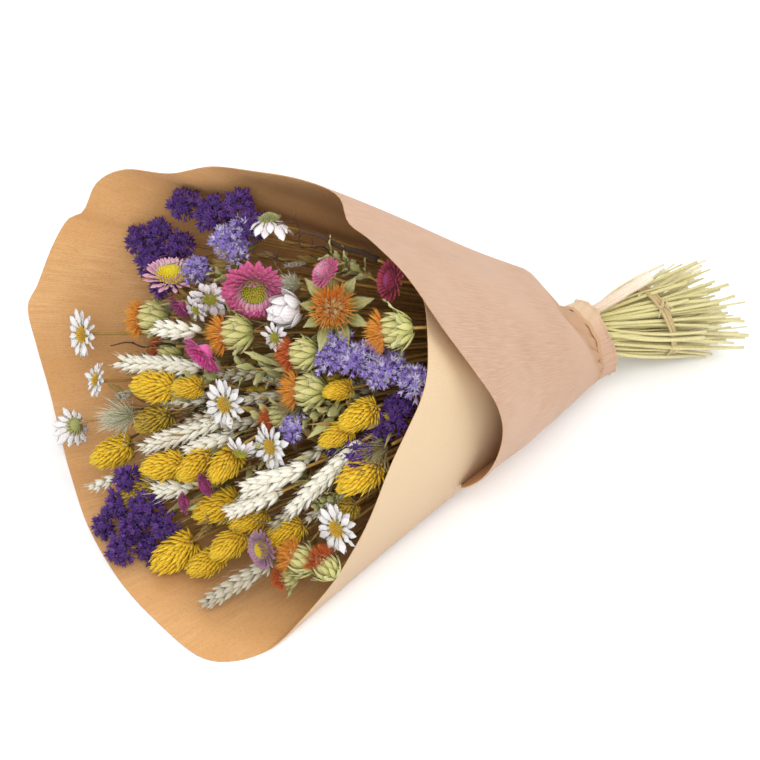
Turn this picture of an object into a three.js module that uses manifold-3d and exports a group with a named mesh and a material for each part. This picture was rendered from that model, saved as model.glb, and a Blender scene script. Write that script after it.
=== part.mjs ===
// A hand-tied bouquet of dried field flowers in a cone of kraft paper, lying on a table.
// Millimetres, +Z up. The mouth of the cone faces -X, the stems run out along +X.
import * as THREE from 'three';
import { mergeVertices } from 'three/addons/utils/BufferGeometryUtils.js';
import Module from 'manifold-3d';

const wasm = await Module();
wasm.setup();

// ---------------------------------------------------------------- driving dimensions
const PAPER = 1.0; // thickness of the wrapping paper, as built
const BLADE = 0.7; // thickness of petals, bracts and leaves
const GAP = 0.3; // clearance between pieces that touch
const JOIN_TOLERANCE = 0.03; // edges shorter than this are closed up where pieces join

const NECK = new THREE.Vector3(0, -2, 37); // centre of the tied neck
const NECK_X = -12.5; // where the paper ends, under the band
const NECK_INNER = 20.5; // radius of the first turn of paper at the neck
const NECK_OUTER = 25.6; // radius of its last turn there
const BUNDLE_R = 16.5; // radius of the packed stems inside the neck
const BUNDLE = [-34, 4]; // where along X the stems are packed tight
const TAIL_DROP = 0.1; // how much the bundle sinks for each millimetre behind the neck
const TAIL_SIDE = 0.2; // how much it turns to the near side for each millimetre

const BAND = [-13, 1]; // the folded paper band, along X
const BAND_R = 27.1;
const BAND_TAPER = 0.8;
const TIE_X = 48;
const TIE_R = 26.2; // radius of the tie, to the middle of its strand
const STRAND_R = 1.2; // raffia strand
const STALK_R = 1.3; // flower stalks

// The thick cut branch, from the centre of the neck.
const BRANCH = {
  radius: 3.1,
  start: new THREE.Vector3(-6, 1, 18.6),
  end: new THREE.Vector3(42, 12, 31),
};

// The flowers are laid out in a plane that faces an eye looking down into the mouth.
const EYE_AZIMUTH = THREE.MathUtils.degToRad(-30);
const EYE_ELEVATION = THREE.MathUtils.degToRad(50);
const EYE_DISTANCE = 1500;
const FACE_CENTRE = new THREE.Vector3(-170, 2, 88);

// The open mouth is close to a plane that leans away from the eye towards the left.
const MOUTH_OUT = 73;
const MOUTH_ACROSS = 0.59;
const MOUTH_UP = -0.08;
const DOME = { across: -100, up: -10, radius: 125, height: 14 };

const FULLNESS = 1.1; // how much larger each head is than the size in its row
const TABLE_CLEARANCE = 17; // from the table to the middle of the lowest heads, along the sight

const SETTLE_STEP = 1.5;
const STALK_STEP = 7;

const GOLDEN_ANGLE = Math.PI * (3 - Math.sqrt(5));
const Z_AXIS = new THREE.Vector3(0, 0, 1);

// ---------------------------------------------------------------- eye and mouth frames
const sinA = Math.sin(EYE_AZIMUTH);
const cosA = Math.cos(EYE_AZIMUTH);
const sinE = Math.sin(EYE_ELEVATION);
const cosE = Math.cos(EYE_ELEVATION);
const ACROSS = new THREE.Vector3(cosA, sinA, 0);
const UP = new THREE.Vector3(-sinA * sinE, cosA * sinE, cosE);
const OUT = new THREE.Vector3(sinA * cosE, -cosA * cosE, sinE);

/** A vector from its across, up and out parts. */
function faceVector(across, up, out) {
  const inPlane = ACROSS.clone().multiplyScalar(across).addScaledVector(UP, up);
  return inPlane.addScaledVector(OUT, out);
}

/** The point seen at (across, up), brought nearer to the eye by out. */
function spot(across, up, out) {
  const shrink = (EYE_DISTANCE - out) / EYE_DISTANCE;
  return faceVector(across * shrink, up * shrink, out).add(FACE_CENTRE);
}

/** How near to the eye the domed top of the flowers lies at (across, up), clear of the table. */
function flowerTop(across, up) {
  const away = Math.hypot(across - DOME.across, up - DOME.up) / DOME.radius;
  const dome = MOUTH_OUT + MOUTH_ACROSS * across + MOUTH_UP * up + DOME.height * (1 - away * away);
  const table = -(FACE_CENTRE.z + UP.z * up) / OUT.z;
  return Math.max(dome, table + TABLE_CLEARANCE);
}

const MOUTH_NORMAL = faceVector(-MOUTH_ACROSS, -MOUTH_UP, 1).normalize();
const MOUTH_ACROSS_AXIS = faceVector(1, 0, MOUTH_ACROSS).normalize();
const MOUTH_UP_AXIS = new THREE.Vector3().crossVectors(MOUTH_NORMAL, MOUTH_ACROSS_AXIS);

/** The direction at a turn in the mouth's plane, raised out of it, both in degrees. */
function aimVector(turn, raise) {
  const t = THREE.MathUtils.degToRad(turn);
  const r = THREE.MathUtils.degToRad(raise);
  return new THREE.Vector3()
    .addScaledVector(MOUTH_ACROSS_AXIS, Math.cos(r) * Math.cos(t))
    .addScaledVector(MOUTH_UP_AXIS, Math.cos(r) * Math.sin(t))
    .addScaledVector(MOUTH_NORMAL, Math.sin(r));
}

// ---------------------------------------------------------------- solids
/** Turns a closed geometry into a solid, right side out. */
function solidOf(geometry) {
  const bare = new THREE.BufferGeometry();
  bare.setAttribute('position', geometry.getAttribute('position').clone());
  if (geometry.index) bare.setIndex(geometry.index.clone());
  const merged = mergeVertices(bare, 1e-4);
  const points = merged.getAttribute('position').array;
  const corners = merged.index.array;
  const kept = [];
  let volume = 0;
  for (let i = 0; i < corners.length; i += 3) {
    const [a, b, c] = [corners[i], corners[i + 1], corners[i + 2]];
    if (a === b || b === c || c === a) continue;
    kept.push(a, b, c);
    const p = new THREE.Vector3().fromArray(points, a * 3);
    const q = new THREE.Vector3().fromArray(points, b * 3);
    const r = new THREE.Vector3().fromArray(points, c * 3);
    volume += p.dot(q.cross(r));
  }
  if (volume < 0) kept.reverse();
  return new wasm.Manifold(
    new wasm.Mesh({
      numProp: 3,
      vertProperties: new Float32Array(points),
      triVerts: new Uint32Array(kept),
    }),
  );
}

/** Joins closed geometries, fills what the joining seals and drops loose scraps. */
function fuse(geometries) {
  const joined = wasm.Manifold.union(geometries.map(solidOf)).simplify(JOIN_TOLERANCE);
  const bodies = joined.decompose();
  return bodies.reduce((best, body) => (body.volume() > best.volume() ? body : best));
}

/** The solid as a geometry with flat faces. */
function geometryOf(solid) {
  const mesh = solid.getMesh();
  const geometry = new THREE.BufferGeometry();
  geometry.setAttribute('position', new THREE.BufferAttribute(new Float32Array(mesh.vertProperties), 3));
  geometry.setIndex(new THREE.BufferAttribute(new Uint32Array(mesh.triVerts), 1));
  return geometry;
}

/** Whether two placed solids share any room. */
function cross(a, b) {
  const p = a.boundingBox();
  const q = b.boundingBox();
  for (let k = 0; k < 3; k += 1) {
    if (p.min[k] > q.max[k] || q.min[k] > p.max[k]) return false;
  }
  return !a.intersect(b).isEmpty();
}

const crossesAny = (solid, others) => others.some((other) => cross(solid, other));

/** Turns a geometry whose own axis is +Z along a direction and moves it. */
function aimed(geometry, direction, at = new THREE.Vector3(), roll = 0) {
  const turn = new THREE.Quaternion().setFromUnitVectors(Z_AXIS, direction.clone().normalize());
  const placed = geometry.clone().rotateZ(roll).applyQuaternion(turn);
  return placed.translate(at.x, at.y, at.z);
}

/** A many-sided rod along a curve. */
function rod(curve, radius, sides, steps) {
  const section = new THREE.Shape();
  for (let i = 0; i < sides; i += 1) {
    const angle = (i * 2 * Math.PI) / sides;
    const [x, y] = [radius * Math.cos(angle), radius * Math.sin(angle)];
    if (i === 0) section.moveTo(x, y);
    else section.lineTo(x, y);
  }
  return new THREE.ExtrudeGeometry(section, { steps, extrudePath: curve, curveSegments: 1 });
}

/** A body of revolution about Z from [radius, height] pairs. */
function turned(pairs, sides) {
  const profile = pairs.map(([radius, height]) => new THREE.Vector2(radius, height));
  return new THREE.LatheGeometry(profile, sides).rotateX(Math.PI / 2);
}

/**
 * A petal, bract or leaf that grows along +X from the origin, lifted by pitch and curled
 * towards +Z by curl times its length at the tip.
 */
function blade(length, width, { pitch = 0, curl = 0, root = 0.3, tip = 0.3 }) {
  const half = width / 2;
  const outline = new THREE.Shape();
  outline.moveTo(0, -half * root);
  outline.lineTo(length * 0.6, -half);
  outline.lineTo(length, -half * tip);
  if (tip > 0) outline.lineTo(length, half * tip);
  outline.lineTo(length * 0.6, half);
  outline.lineTo(0, half * root);
  const geometry = new THREE.ExtrudeGeometry(outline, { depth: BLADE, bevelEnabled: false });
  const points = geometry.getAttribute('position');
  for (let i = 0; i < points.count; i += 1) {
    const along = points.getX(i) / length;
    points.setZ(i, points.getZ(i) - BLADE / 2 + curl * length * along * along);
  }
  return geometry.rotateY(THREE.MathUtils.degToRad(-pitch));
}

/**
 * A ring of petals cut into the edge of one thin dish about Z. Points nearer the axis than
 * the hub stay level, and the petals rise from it at pitch and curl at their tips.
 */
function corolla(petals, reach, options) {
  const { pitch = 10, curl = 0, valley = 0.5, height = 0, phase = 0, pointed = true } = options;
  const step = (2 * Math.PI) / petals;
  const outline = new THREE.Shape();
  const draw = (radius, angle) => {
    const point = [radius * Math.cos(angle), radius * Math.sin(angle)];
    if (outline.curves.length === 0 && outline.currentPoint.length() === 0) outline.moveTo(...point);
    else outline.lineTo(...point);
  };
  for (let i = 0; i < petals; i += 1) {
    const angle = (i + phase) * step;
    draw(reach * valley, angle - step / 2);
    if (pointed) {
      draw(reach, angle);
    } else {
      draw(reach, angle - step * 0.26);
      draw(reach, angle + step * 0.26);
    }
  }
  const dish = new THREE.ExtrudeGeometry(outline, { depth: BLADE, bevelEnabled: false });
  const hub = reach * 0.3;
  const slope = THREE.MathUtils.degToRad(pitch);
  const points = dish.getAttribute('position');
  for (let i = 0; i < points.count; i += 1) {
    const radius = Math.hypot(points.getX(i), points.getY(i));
    const beyond = Math.max(radius - hub, 0);
    const lift = points.getZ(i) - BLADE / 2 + curl * reach * (beyond / reach) ** 2;
    const bent = radius - beyond + beyond * Math.cos(slope) - lift * Math.sin(slope);
    const rise = height + beyond * Math.sin(slope) + lift * Math.cos(slope);
    points.setXYZ(i, (points.getX(i) * bent) / radius, (points.getY(i) * bent) / radius, rise);
  }
  return dish;
}

/** A ball stretched to [x, y, z] radii, every second point of its net sunk to low. */
function reliefBall([rx, ry, rz], sides, rings, low) {
  const ball = new THREE.SphereGeometry(1, sides, rings).rotateX(Math.PI / 2);
  const points = ball.getAttribute('position');
  for (let i = 0; i < points.count; i += 1) {
    const p = new THREE.Vector3().fromBufferAttribute(points, i);
    const around = Math.round((Math.atan2(p.y, p.x) * sides) / (2 * Math.PI));
    const ring = Math.round((Math.acos(THREE.MathUtils.clamp(p.z, -1, 1)) * rings) / Math.PI);
    const atPole = ring === 0 || ring === rings;
    p.multiplyScalar(atPole || (around + ring) % 2 === 0 ? 1 : low);
    points.setXYZ(i, p.x * rx, p.y * ry, p.z * rz);
  }
  return ball;
}

// ---------------------------------------------------------------- flower heads
// Each maker returns the geometries of one head that faces +Z round the origin, and how far
// below the origin its stalk starts.

/** A domed disc on a cup that narrows to the stalk. */
function discAndCup(radius, height, depth) {
  return turned([[0, -depth], [radius * 0.9, -depth * 0.35], [radius, height * 0.5], [0, height]], 7);
}

function strawflower(size, { rings = 2, petals = 10 } = {}) {
  const parts = [discAndCup(size * 0.34, size * 0.3, size * 0.45)];
  for (let ring = 0; ring < rings; ring += 1) {
    const shape = { pitch: 10 + 26 * ring, curl: 0.2, height: size * 0.05 * ring, phase: ring / 2 };
    parts.push(corolla(petals, size * (1 - 0.1 * ring), shape));
  }
  return { parts, depth: size * 0.4 };
}

function daisy(size, { petals = 11, pitch = 8, curl = -0.1 } = {}) {
  const parts = [discAndCup(size * 0.34, size * 0.26, size * 0.42)];
  parts.push(corolla(petals, size, { pitch, curl, pointed: false, valley: 0.46 }));
  return { parts, depth: size * 0.4 };
}

/** A strawflower still closed into a ball of cupped bracts. */
function globe(size) {
  const parts = [reliefBall([size * 0.86, size * 0.86, size], 8, 6, 0.84)];
  parts.push(corolla(9, size * 1.7, { pitch: 58, curl: 0.5, height: -size * 0.62 }));
  return { parts, depth: size * 0.8 };
}

/** A scaly green bulb with a brush of florets on top. */
function safflower(size, { leaves = 0 } = {}) {
  const parts = [reliefBall([size, size, size * 1.05], 8, 6, 0.86)];
  parts.push(reliefBall([size * 0.95, size * 0.95, size * 0.85], 8, 6, 0.6).translate(0, 0, size * 1.2));
  if (leaves > 0) {
    const fan = { pitch: 16, curl: 0.3, height: -size * 0.5, valley: 0.36 };
    parts.push(corolla(leaves, size * 2.3, fan));
  }
  return { parts, depth: size * 0.9 };
}

/** An oval head of canary grass, its scales raised in rows. */
function canaryGrass(length) {
  const head = reliefBall([length * 0.28, length * 0.28, length * 0.5], 8, 6, 0.82);
  return { parts: [head], depth: length * 0.45 };
}

/** A wheat ear: a flat tapering body whose grains stand out by turns on its two sides. */
function wheatEar(length, { width = 14 } = {}) {
  const rings = Math.max(5, Math.round(length / 6));
  const ear = new THREE.CylinderGeometry(1, 1, length, 6, rings).rotateX(Math.PI / 2);
  const points = ear.getAttribute('position');
  for (let i = 0; i < points.count; i += 1) {
    const along = points.getZ(i) / length + 0.5;
    const ring = Math.round(along * rings);
    const side = (ring % 2 === 0 ? 1 : -1) * Math.round(points.getX(i));
    const taper = Math.sin(Math.PI * Math.min(along * 0.72 + 0.14, 0.97)) ** 0.6;
    const reach = width * 0.5 * taper * (1 + 0.22 * side);
    points.setXYZ(i, points.getX(i) * reach, points.getY(i) * reach * 0.72, points.getZ(i) + side * 1.2);
  }
  return { parts: [ear], depth: length / 2 };
}

/** A tuft of statice: papery funnels standing out all round. */
function statice(size) {
  return { parts: [reliefBall([size, size, size * 0.85], 8, 5, 0.66)], depth: size * 0.5 };
}

/** A feathery plume of fine rays from one foot. */
function plume(size) {
  const rays = 11;
  const parts = [turned([[0, -size * 0.5], [size * 0.2, -size * 0.2], [0, size * 0.3]], 5)];
  for (let i = 0; i < rays; i += 1) {
    const lean = 0.2 + 0.8 * (i / rays);
    const turn = i * GOLDEN_ANGLE;
    const ray = new THREE.Vector3(Math.sin(lean), 0, Math.cos(lean)).applyAxisAngle(Z_AXIS, turn);
    const hair = new THREE.ConeGeometry(1.1, size * 1.3, 3).rotateX(Math.PI / 2);
    hair.translate(0, 0, size * 0.65);
    parts.push(aimed(hair, ray, ray.clone().multiplyScalar(size * 0.05).setZ(-size * 0.2)));
  }
  return { parts, depth: size * 0.4 };
}

/** A leafy sprig along +Z. */
function sprig(length) {
  const leaves = 4;
  const width = 8;
  const tip = new THREE.Vector3(0, 0, length / 2);
  const line = new THREE.LineCurve3(tip.clone().negate(), tip);
  const parts = [rod(line, 0.9, 4, 1)];
  for (let i = 0; i < leaves; i += 1) {
    const leaf = blade(length * 0.42, width, { pitch: 38, curl: -0.1, tip: 0 }).rotateZ(i * GOLDEN_ANGLE);
    parts.push(leaf.translate(0, 0, -length * 0.4 + (length * 0.72 * i) / leaves));
  }
  return { parts, depth: length / 2 };
}

/** A bare twig along +Z with a few kinks. */
function twig(length, { radius, bend }) {
  const kinks = 5;
  const points = [];
  for (let i = 0; i <= kinks; i += 1) {
    const swing = bend * Math.sin(i * 2.1);
    const nod = bend * 0.5 * (Math.cos(i * 1.7) - 1);
    points.push(new THREE.Vector3(swing, nod, (length * i) / kinks - length / 2));
  }
  return { parts: [rod(new THREE.CatmullRomCurve3(points), radius, 4, kinks + 3)], depth: length / 2 };
}

// ---------------------------------------------------------------- the arrangement
// One row for each node, nearest the eye first: its colour and its heads. A head is
// [maker, across, up, size, turn, raise, options]; turn and raise aim its own axis.
const COLOURS = {
  pink: '#d73c78',
  palePink: '#fabed7',
  maroon: '#8c2850',
  fuchsia: '#d75096',
  white: '#f0ece4',
  crimson: '#a02d4b',
  mauve: '#c8a0be',
  plum: '#7a2a50',
  orange: '#f0801c',
  yellow: '#f0c01a',
  wheat: '#e8e0c8',
  indigo: '#45258c',
  violet: '#7868dc',
  cream: '#d8d2a8',
  green: '#8f9a6a',
  bark: '#6a4a34',
};

const ARRANGEMENT = [
  ['strawflower_pink', 'pink', [[strawflower, -83, 57, 20, 270, 62, { rings: 3, petals: 14 }]]],
  ['safflower_front', 'orange', [[safflower, -33, 49, 11, 190, 74, { leaves: 6 }]]],
  ['wheat_left', 'wheat', [[wheatEar, -148, 10, 66, 177, 6]]],
  ['strawflower_white', 'white', [[globe, -61, 46, 9, 200, 60]]],
  ['daisy_centre', 'white', [[daisy, -102, -16, 16, 250, 70]]],
  ['daisy_far_left', 'white', [[daisy, -196, 30, 16, 200, 66]]],
  ['daisy_left', 'white', [[daisy, -187, 0, 12, 170, 60]]],
  ['daisy_low', 'white', [[daisy, -28, -98, 16, 240, 66]]],
  ['safflower_low', 'orange', [[safflower, -51, -119, 9, 150, 40], [safflower, -35, -124, 8, 115, 40]]],
  ['daisy_middle', 'white', [[daisy, -72, -44, 14, 240, 66]]],
  ['wheat_broad', 'wheat', [
    [wheatEar, -71, -66, 44, 202, 14, { width: 18 }], [wheatEar, -84, -81, 40, 202, 10],
  ]],
  ['wheat_right', 'wheat', [[wheatEar, -39, -67, 66, 225, 8]]],
  ['wheat_middle', 'wheat', [[wheatEar, -133, -37, 64, 199, 6], [wheatEar, -113, -42, 34, 200, 14]]],
  ['canary_left', 'yellow', [[canaryGrass, -177, -48, 28, 205, 16]]],
  ['canary_right', 'yellow', [[canaryGrass, -14, -64, 29, 225, 40]]],
  ['canary_trio', 'yellow', [
    [canaryGrass, -143, -57, 27, 190, 24], [canaryGrass, -122, -57, 25, 230, 40],
    [canaryGrass, -103, -57, 25, 250, 40],
  ]],
  ['safflower_centre', 'orange', [[safflower, -94, 31, 10, 188, 24]]],
  ['strawflower_fuchsia', 'fuchsia', [[strawflower, -117, 17, 16, 235, 25]]],
  ['safflower_left', 'orange', [[safflower, -149, 41, 10, 184, 24]]],
  ['strawflower_pale', 'palePink', [[strawflower, -138, 72, 16, 110, 66]]],
  ['safflower_right', 'orange', [[safflower, 11, 33, 10, 190, 30, { leaves: 5 }]]],
  ['safflower_middle', 'orange', [[safflower, -46, -7, 10, 180, 26]]],
  ['canary_near', 'yellow', [
    [canaryGrass, -28, -7, 18, 200, 50], [canaryGrass, -14, -24, 25, 220, 40],
    [canaryGrass, -29, -37, 21, 215, 30],
  ]],
  ['statice_violet_near', 'violet', [
    [statice, -27, 22, 9, 90, 60], [statice, -8, 15, 10, 90, 60], [statice, 8, 7, 10, 90, 60],
    [statice, 24, -2, 10, 60, 60],
  ]],
  ['canary_low', 'yellow', [[canaryGrass, -108, -84, 30, 200, 16], [canaryGrass, -86, -92, 24, 210, 30]]],
  ['canary_upper_left', 'yellow', [
    [canaryGrass, -149, -4, 30, 180, 10], [canaryGrass, -127, -5, 20, 186, 20],
  ]],
  ['canary_bottom', 'yellow', [
    [canaryGrass, -136, -115, 32, 215, 12], [canaryGrass, -115, -121, 24, 215, 30],
    [canaryGrass, -100, -109, 25, 225, 30],
  ]],
  ['wheat_upper', 'wheat', [[wheatEar, -134, 33, 32, 175, 10]]],
  ['wheat_back', 'wheat', [[wheatEar, -127, -12, 30, 183, 14]]],
  ['wheat_edge', 'wheat', [[wheatEar, -180, -67, 26, 204, 8, { width: 9 }]]],
  ['wheat_drooping', 'wheat', [[wheatEar, -136, -72, 26, 184, 10]]],
  ['wheat_bottom', 'wheat', [[wheatEar, -95, -135, 58, 212, 6]]],
  ['strawflower_small', 'pink', [[strawflower, -36, 71, 11, 120, 60]]],
  ['strawflower_crimson', 'crimson', [[strawflower, 7, 66, 14, 180, 60]]],
  ['rhodanthe', 'white', [
    [daisy, -112, 54, 13, 200, 60, { petals: 10 }], [daisy, -121, 46, 9, 170, 50, { petals: 9 }],
  ]],
  ['white_papery', 'white', [[strawflower, -73, 98, 16, 70, 40, { petals: 9 }]]],
  ['white_small', 'white', [[daisy, -69, 28, 10, 250, 60, { petals: 9 }]]],
  ['white_drooping', 'white', [[daisy, -92, -48, 12, 265, 20, { petals: 9, pitch: -40 }]]],
  ['strawflower_maroon', 'maroon', [[strawflower, -132, 48, 10, 235, 24]]],
  ['strawflower_plum', 'plum', [
    [strawflower, -115, -69, 9, 220, 50], [strawflower, -129, -81, 8, 200, 50],
  ]],
  ['strawflower_mauve', 'mauve', [[strawflower, -78, -112, 13, 220, 64]]],
  ['safflower_red', 'orange', [[safflower, -50, 17, 9, 186, 20]]],
  ['safflower_small', 'orange', [[safflower, -138, 18, 8, 160, 20]]],
  ['statice_violet_star', 'violet', [[statice, -57, -32, 8, 90, 70]]],
  ['statice_violet_top', 'violet', [
    [statice, -101, 91, 10, 90, 60], [statice, -90, 98, 9, 90, 60], [statice, -121, 72, 8, 90, 60],
  ]],
  ['statice_dark_top', 'indigo', [
    [statice, -129, 115, 10, 90, 60], [statice, -110, 109, 11, 90, 60], [statice, -93, 115, 10, 90, 60],
  ]],
  ['statice_dark_left', 'indigo', [
    [statice, -158, 92, 9, 90, 60], [statice, -149, 79, 11, 90, 60], [statice, -132, 88, 9, 90, 60],
  ]],
  ['statice_dark_edge', 'indigo', [
    [statice, -165, -66, 9, 200, 60], [statice, -171, -82, 9, 200, 60], [statice, -153, -84, 11, 200, 60],
  ]],
  ['statice_dark_low', 'indigo', [
    [statice, -161, -98, 10, 200, 60], [statice, -170, -112, 9, 200, 60], [statice, -140, -97, 9, 240, 60],
  ]],
  ['statice_dark_near', 'indigo', [
    [statice, 12, -23, 11, 90, 60], [statice, -1, -37, 8, 90, 60], [statice, -26, -44, 9, 90, 60],
  ]],
  ['plume_cream', 'cream', [[plume, -166, -24, 17, 190, 30]]],
  ['daisy_turned', 'white', [[daisy, -201, -30, 14, 195, -24, { pitch: 34 }]]],
  ['twig_thick', 'bark', [[twig, -27, 89, 54, 160, 4, { radius: 2.2, bend: 2 }]]],
  ['twig_curly', 'bark', [[twig, -50, 92, 40, 140, 14, { radius: 0.9, bend: 5 }]]],
  ['foliage', 'green', [[sprig, -78, 7, 44, 180, 20], [sprig, -62, -22, 40, 200, 20]]],
];

// ---------------------------------------------------------------- the paper wrap
// Where the sheet's lip runs, from its first edge under the flap, down the near side, along
// the table, up the far side and over the top to the free edge of the flap.
const LIP = [
  [-148, 24, 174], [-151, -21, 174], [-172, -60, 165], [-198, -80, 138], [-219, -87, 108],
  [-243, -94, 70], [-266, -96, 34], [-300, -96, 4], [-329, -93, -2], [-350, -78, -4], [-362, -40, -6],
  [-369, 3, -7], [-368, 52, -6], [-360, 96, -3], [-353, 127, 7], [-347, 154, 25], [-344, 175, 48],
  [-341, 190, 73], [-330, 194, 87], [-313, 201, 110], [-298, 204, 126], [-288, 199, 133],
  [-276, 199, 153], [-260, 187, 167], [-239, 161, 176], [-215, 142, 189], [-194, 114, 197],
  [-178, 88, 202], [-166, 63, 204], [-169, 43, 201], [-164, 21, 201], [-157, -26, 190],
  [-149, -52, 171], [-141, -69, 148], [-131, -79, 121], [-126, -82, 95], [-128, -79, 70],
  [-139, -73, 40], [-146, -52, 14],
].map(([x, y, z]) => new THREE.Vector3(x, y, z));
const LIP_CURVE = new THREE.CatmullRomCurve3(LIP);
const CONE_AXIS = { side: 0.1, rise: 0.48 }; // slope of the cone's axis, per millimetre of length
const AROUND = 48;
const ALONG = 6;

// Behind the mouth the cone is full until its shoulder, then drops to a narrow sleeve that
// runs on to the band. The shoulder lies further from the band on the upper side.
const SHOULDER = { middle: -33, slant: 18, swell: 6, upper: THREE.MathUtils.degToRad(44) };
const SLEEVE = { step: 22, flare: 1.5, shortest: 3 };

/** The angle round the cone of a point of the lip, from -90 degrees at the table. */
function lipAngle(point) {
  const side = -(point.y - NECK.y) / (point.x - NECK_X) - CONE_AXIS.side;
  const rise = -(point.z - NECK.z) / (point.x - NECK_X) - CONE_AXIS.rise;
  return Math.atan2(rise, side);
}

/** The point at an angle and radius round the cone's axis, where it passes x. */
function coneRing(x, radius, angle) {
  const back = NECK_X - x;
  const y = NECK.y + CONE_AXIS.side * back + radius * Math.cos(angle);
  const z = NECK.z + CONE_AXIS.rise * back + radius * Math.sin(angle);
  return new THREE.Vector3(x, y, z);
}

/** The sheet's middle surface: rows 0 to 2 are the neck, sleeve and shoulder, the last the lip. */
function sheetPoint(around, row, angle) {
  const lip = LIP_CURVE.getPointAt(around);
  const radius = NECK_INNER + (NECK_OUTER - NECK_INNER) * around;
  const neck = coneRing(NECK_X, radius, angle);
  const upper = Math.cos(angle - SHOULDER.upper);
  const nearest = NECK_X - 2 * SLEEVE.shortest;
  const shoulderX = Math.min(SHOULDER.middle - SHOULDER.slant * upper, nearest);
  if (row === 0) return neck;
  const sleeveX = Math.min(shoulderX + SLEEVE.step, NECK_X - SLEEVE.shortest);
  if (row === 1) return coneRing(sleeveX, radius + SLEEVE.flare, angle);
  const swell = SHOULDER.swell * (1 + upper);
  const shoulder = neck.lerp(lip, (shoulderX - NECK_X) / (lip.x - NECK_X));
  shoulder.add(new THREE.Vector3(0, swell * Math.cos(angle), swell * Math.sin(angle)));
  return shoulder.lerp(lip, (row - 2) / (ALONG - 2));
}

function paperWrap() {
  const sheet = new THREE.BoxGeometry(1, 1, 1, AROUND, ALONG, 1);
  const angles = [];
  let last = lipAngle(LIP_CURVE.getPointAt(0));
  for (let i = 0; i <= AROUND; i += 1) {
    let angle = lipAngle(LIP_CURVE.getPointAt(i / AROUND));
    while (angle < last - Math.PI) angle += 2 * Math.PI;
    while (angle > last + Math.PI) angle -= 2 * Math.PI;
    angles.push(angle);
    last = angle;
  }
  const at = (i, j) => {
    const column = THREE.MathUtils.clamp(i, 0, AROUND);
    const row = THREE.MathUtils.clamp(j, 0, ALONG);
    return sheetPoint(column / AROUND, row, angles[column]);
  };
  const points = sheet.getAttribute('position');
  for (let k = 0; k < points.count; k += 1) {
    const i = Math.round((points.getX(k) + 0.5) * AROUND);
    const j = Math.round((points.getY(k) + 0.5) * ALONG);
    const outside = points.getZ(k) > 0;
    const tangent = at(i + 1, j).sub(at(i - 1, j));
    const normal = at(i, j + 1).sub(at(i, j - 1)).cross(tangent).normalize();
    const point = at(i, j).addScaledVector(normal, outside ? PAPER / 2 : -PAPER / 2);
    const floor = outside ? 0 : PAPER;
    points.setXYZ(k, point.x, point.y, Math.max(point.z, floor));
  }
  return sheet;
}

// ---------------------------------------------------------------- neck, tie and stem ends
/** The folded band round the neck: a short tube about X that narrows towards the stems. */
function paperBand() {
  const [from, to] = BAND;
  const outer = BAND_R + PAPER;
  const section = [[BAND_R, from], [BAND_R - BAND_TAPER, to], [outer - BAND_TAPER, to], [outer, from]];
  const ring = turned([...section, section[0]], 24);
  return ring.rotateY(Math.PI / 2).translate(0, NECK.y, NECK.z);
}

/** The centre of the bundle at x, which sinks and turns to the near side behind the neck. */
function bundleCentre(x) {
  const behind = Math.max(x, 0);
  return new THREE.Vector3(x, NECK.y - TAIL_SIDE * behind, NECK.z - TAIL_DROP * behind);
}

// Rings of [count, radius] in the bundle, and how the stems run on from it to their cut ends.
const TAILS = {
  rings: [[5, 4.8], [10, 9.6], [14, 14.2]],
  radius: 2.1,
  from: -4,
  reach: 112,
  uneven: 9,
  fan: { side: 2.5, rise: 1.5 },
  twist: 1.0,
};

/** The cut stem ends: straight rods that twist past each other at the tie and fan out. */
function stemTails() {
  const rods = [];
  TAILS.rings.forEach(([count, ringR], ring) => {
    for (let i = 0; i < count; i += 1) {
      const turn = ((i + ring * 0.5) * 2 * Math.PI) / count;
      const uneven = TAILS.uneven * Math.sin(i * 2.7 + ring * 1.3);
      const start = bundleCentre(TAILS.from);
      start.add(new THREE.Vector3(0, Math.cos(turn) * ringR, Math.sin(turn) * ringR));
      const end = bundleCentre(TAILS.reach + uneven);
      const far = turn + TAILS.twist;
      end.y += ringR * TAILS.fan.side * Math.cos(far);
      end.z = Math.max(end.z + ringR * TAILS.fan.rise * Math.sin(far), TAILS.radius + GAP);
      rods.push(rod(new THREE.LineCurve3(start, end), TAILS.radius, 3, 1));
    }
  });
  return rods;
}

/** Raffia wound round the stems, with a knot and two loose ends. */
function raffiaTie() {
  const turns = 2;
  const pitch = 4.2;
  const steps = 24;
  const centre = bundleCentre(TIE_X);
  const points = [];
  for (let i = 0; i <= steps; i += 1) {
    const angle = (i / steps) * turns * 2 * Math.PI + Math.PI / 2;
    const wound = new THREE.Vector3(0, Math.cos(angle), Math.sin(angle)).multiplyScalar(TIE_R);
    wound.x = pitch * ((i / steps) * turns - 1);
    points.push(wound.add(centre));
  }
  const top = centre.clone().add(new THREE.Vector3(0, 0, TIE_R));
  const knot = new THREE.SphereGeometry(1, 6, 5).scale(6.5, 3, 2.4).translate(top.x, top.y, top.z + 1);
  const loose = [-1, 1].map((side) => {
    const end = top.clone().add(new THREE.Vector3(side * 7, -10, 4 - side));
    return rod(new THREE.LineCurve3(top.clone().setZ(top.z + 1.5), end), STRAND_R, 4, 1);
  });
  return [rod(new THREE.CatmullRomCurve3(points), STRAND_R, 4, steps), knot, ...loose];
}

/** The thick cut branch that leaves the band on top of the stems. */
function thickBranch() {
  const start = NECK.clone().add(BRANCH.start);
  const end = NECK.clone().add(BRANCH.end);
  return rod(new THREE.LineCurve3(start, end), BRANCH.radius, 8, 1);
}

// ---------------------------------------------------------------- assembly
const bouquet = new THREE.Group();

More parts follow.
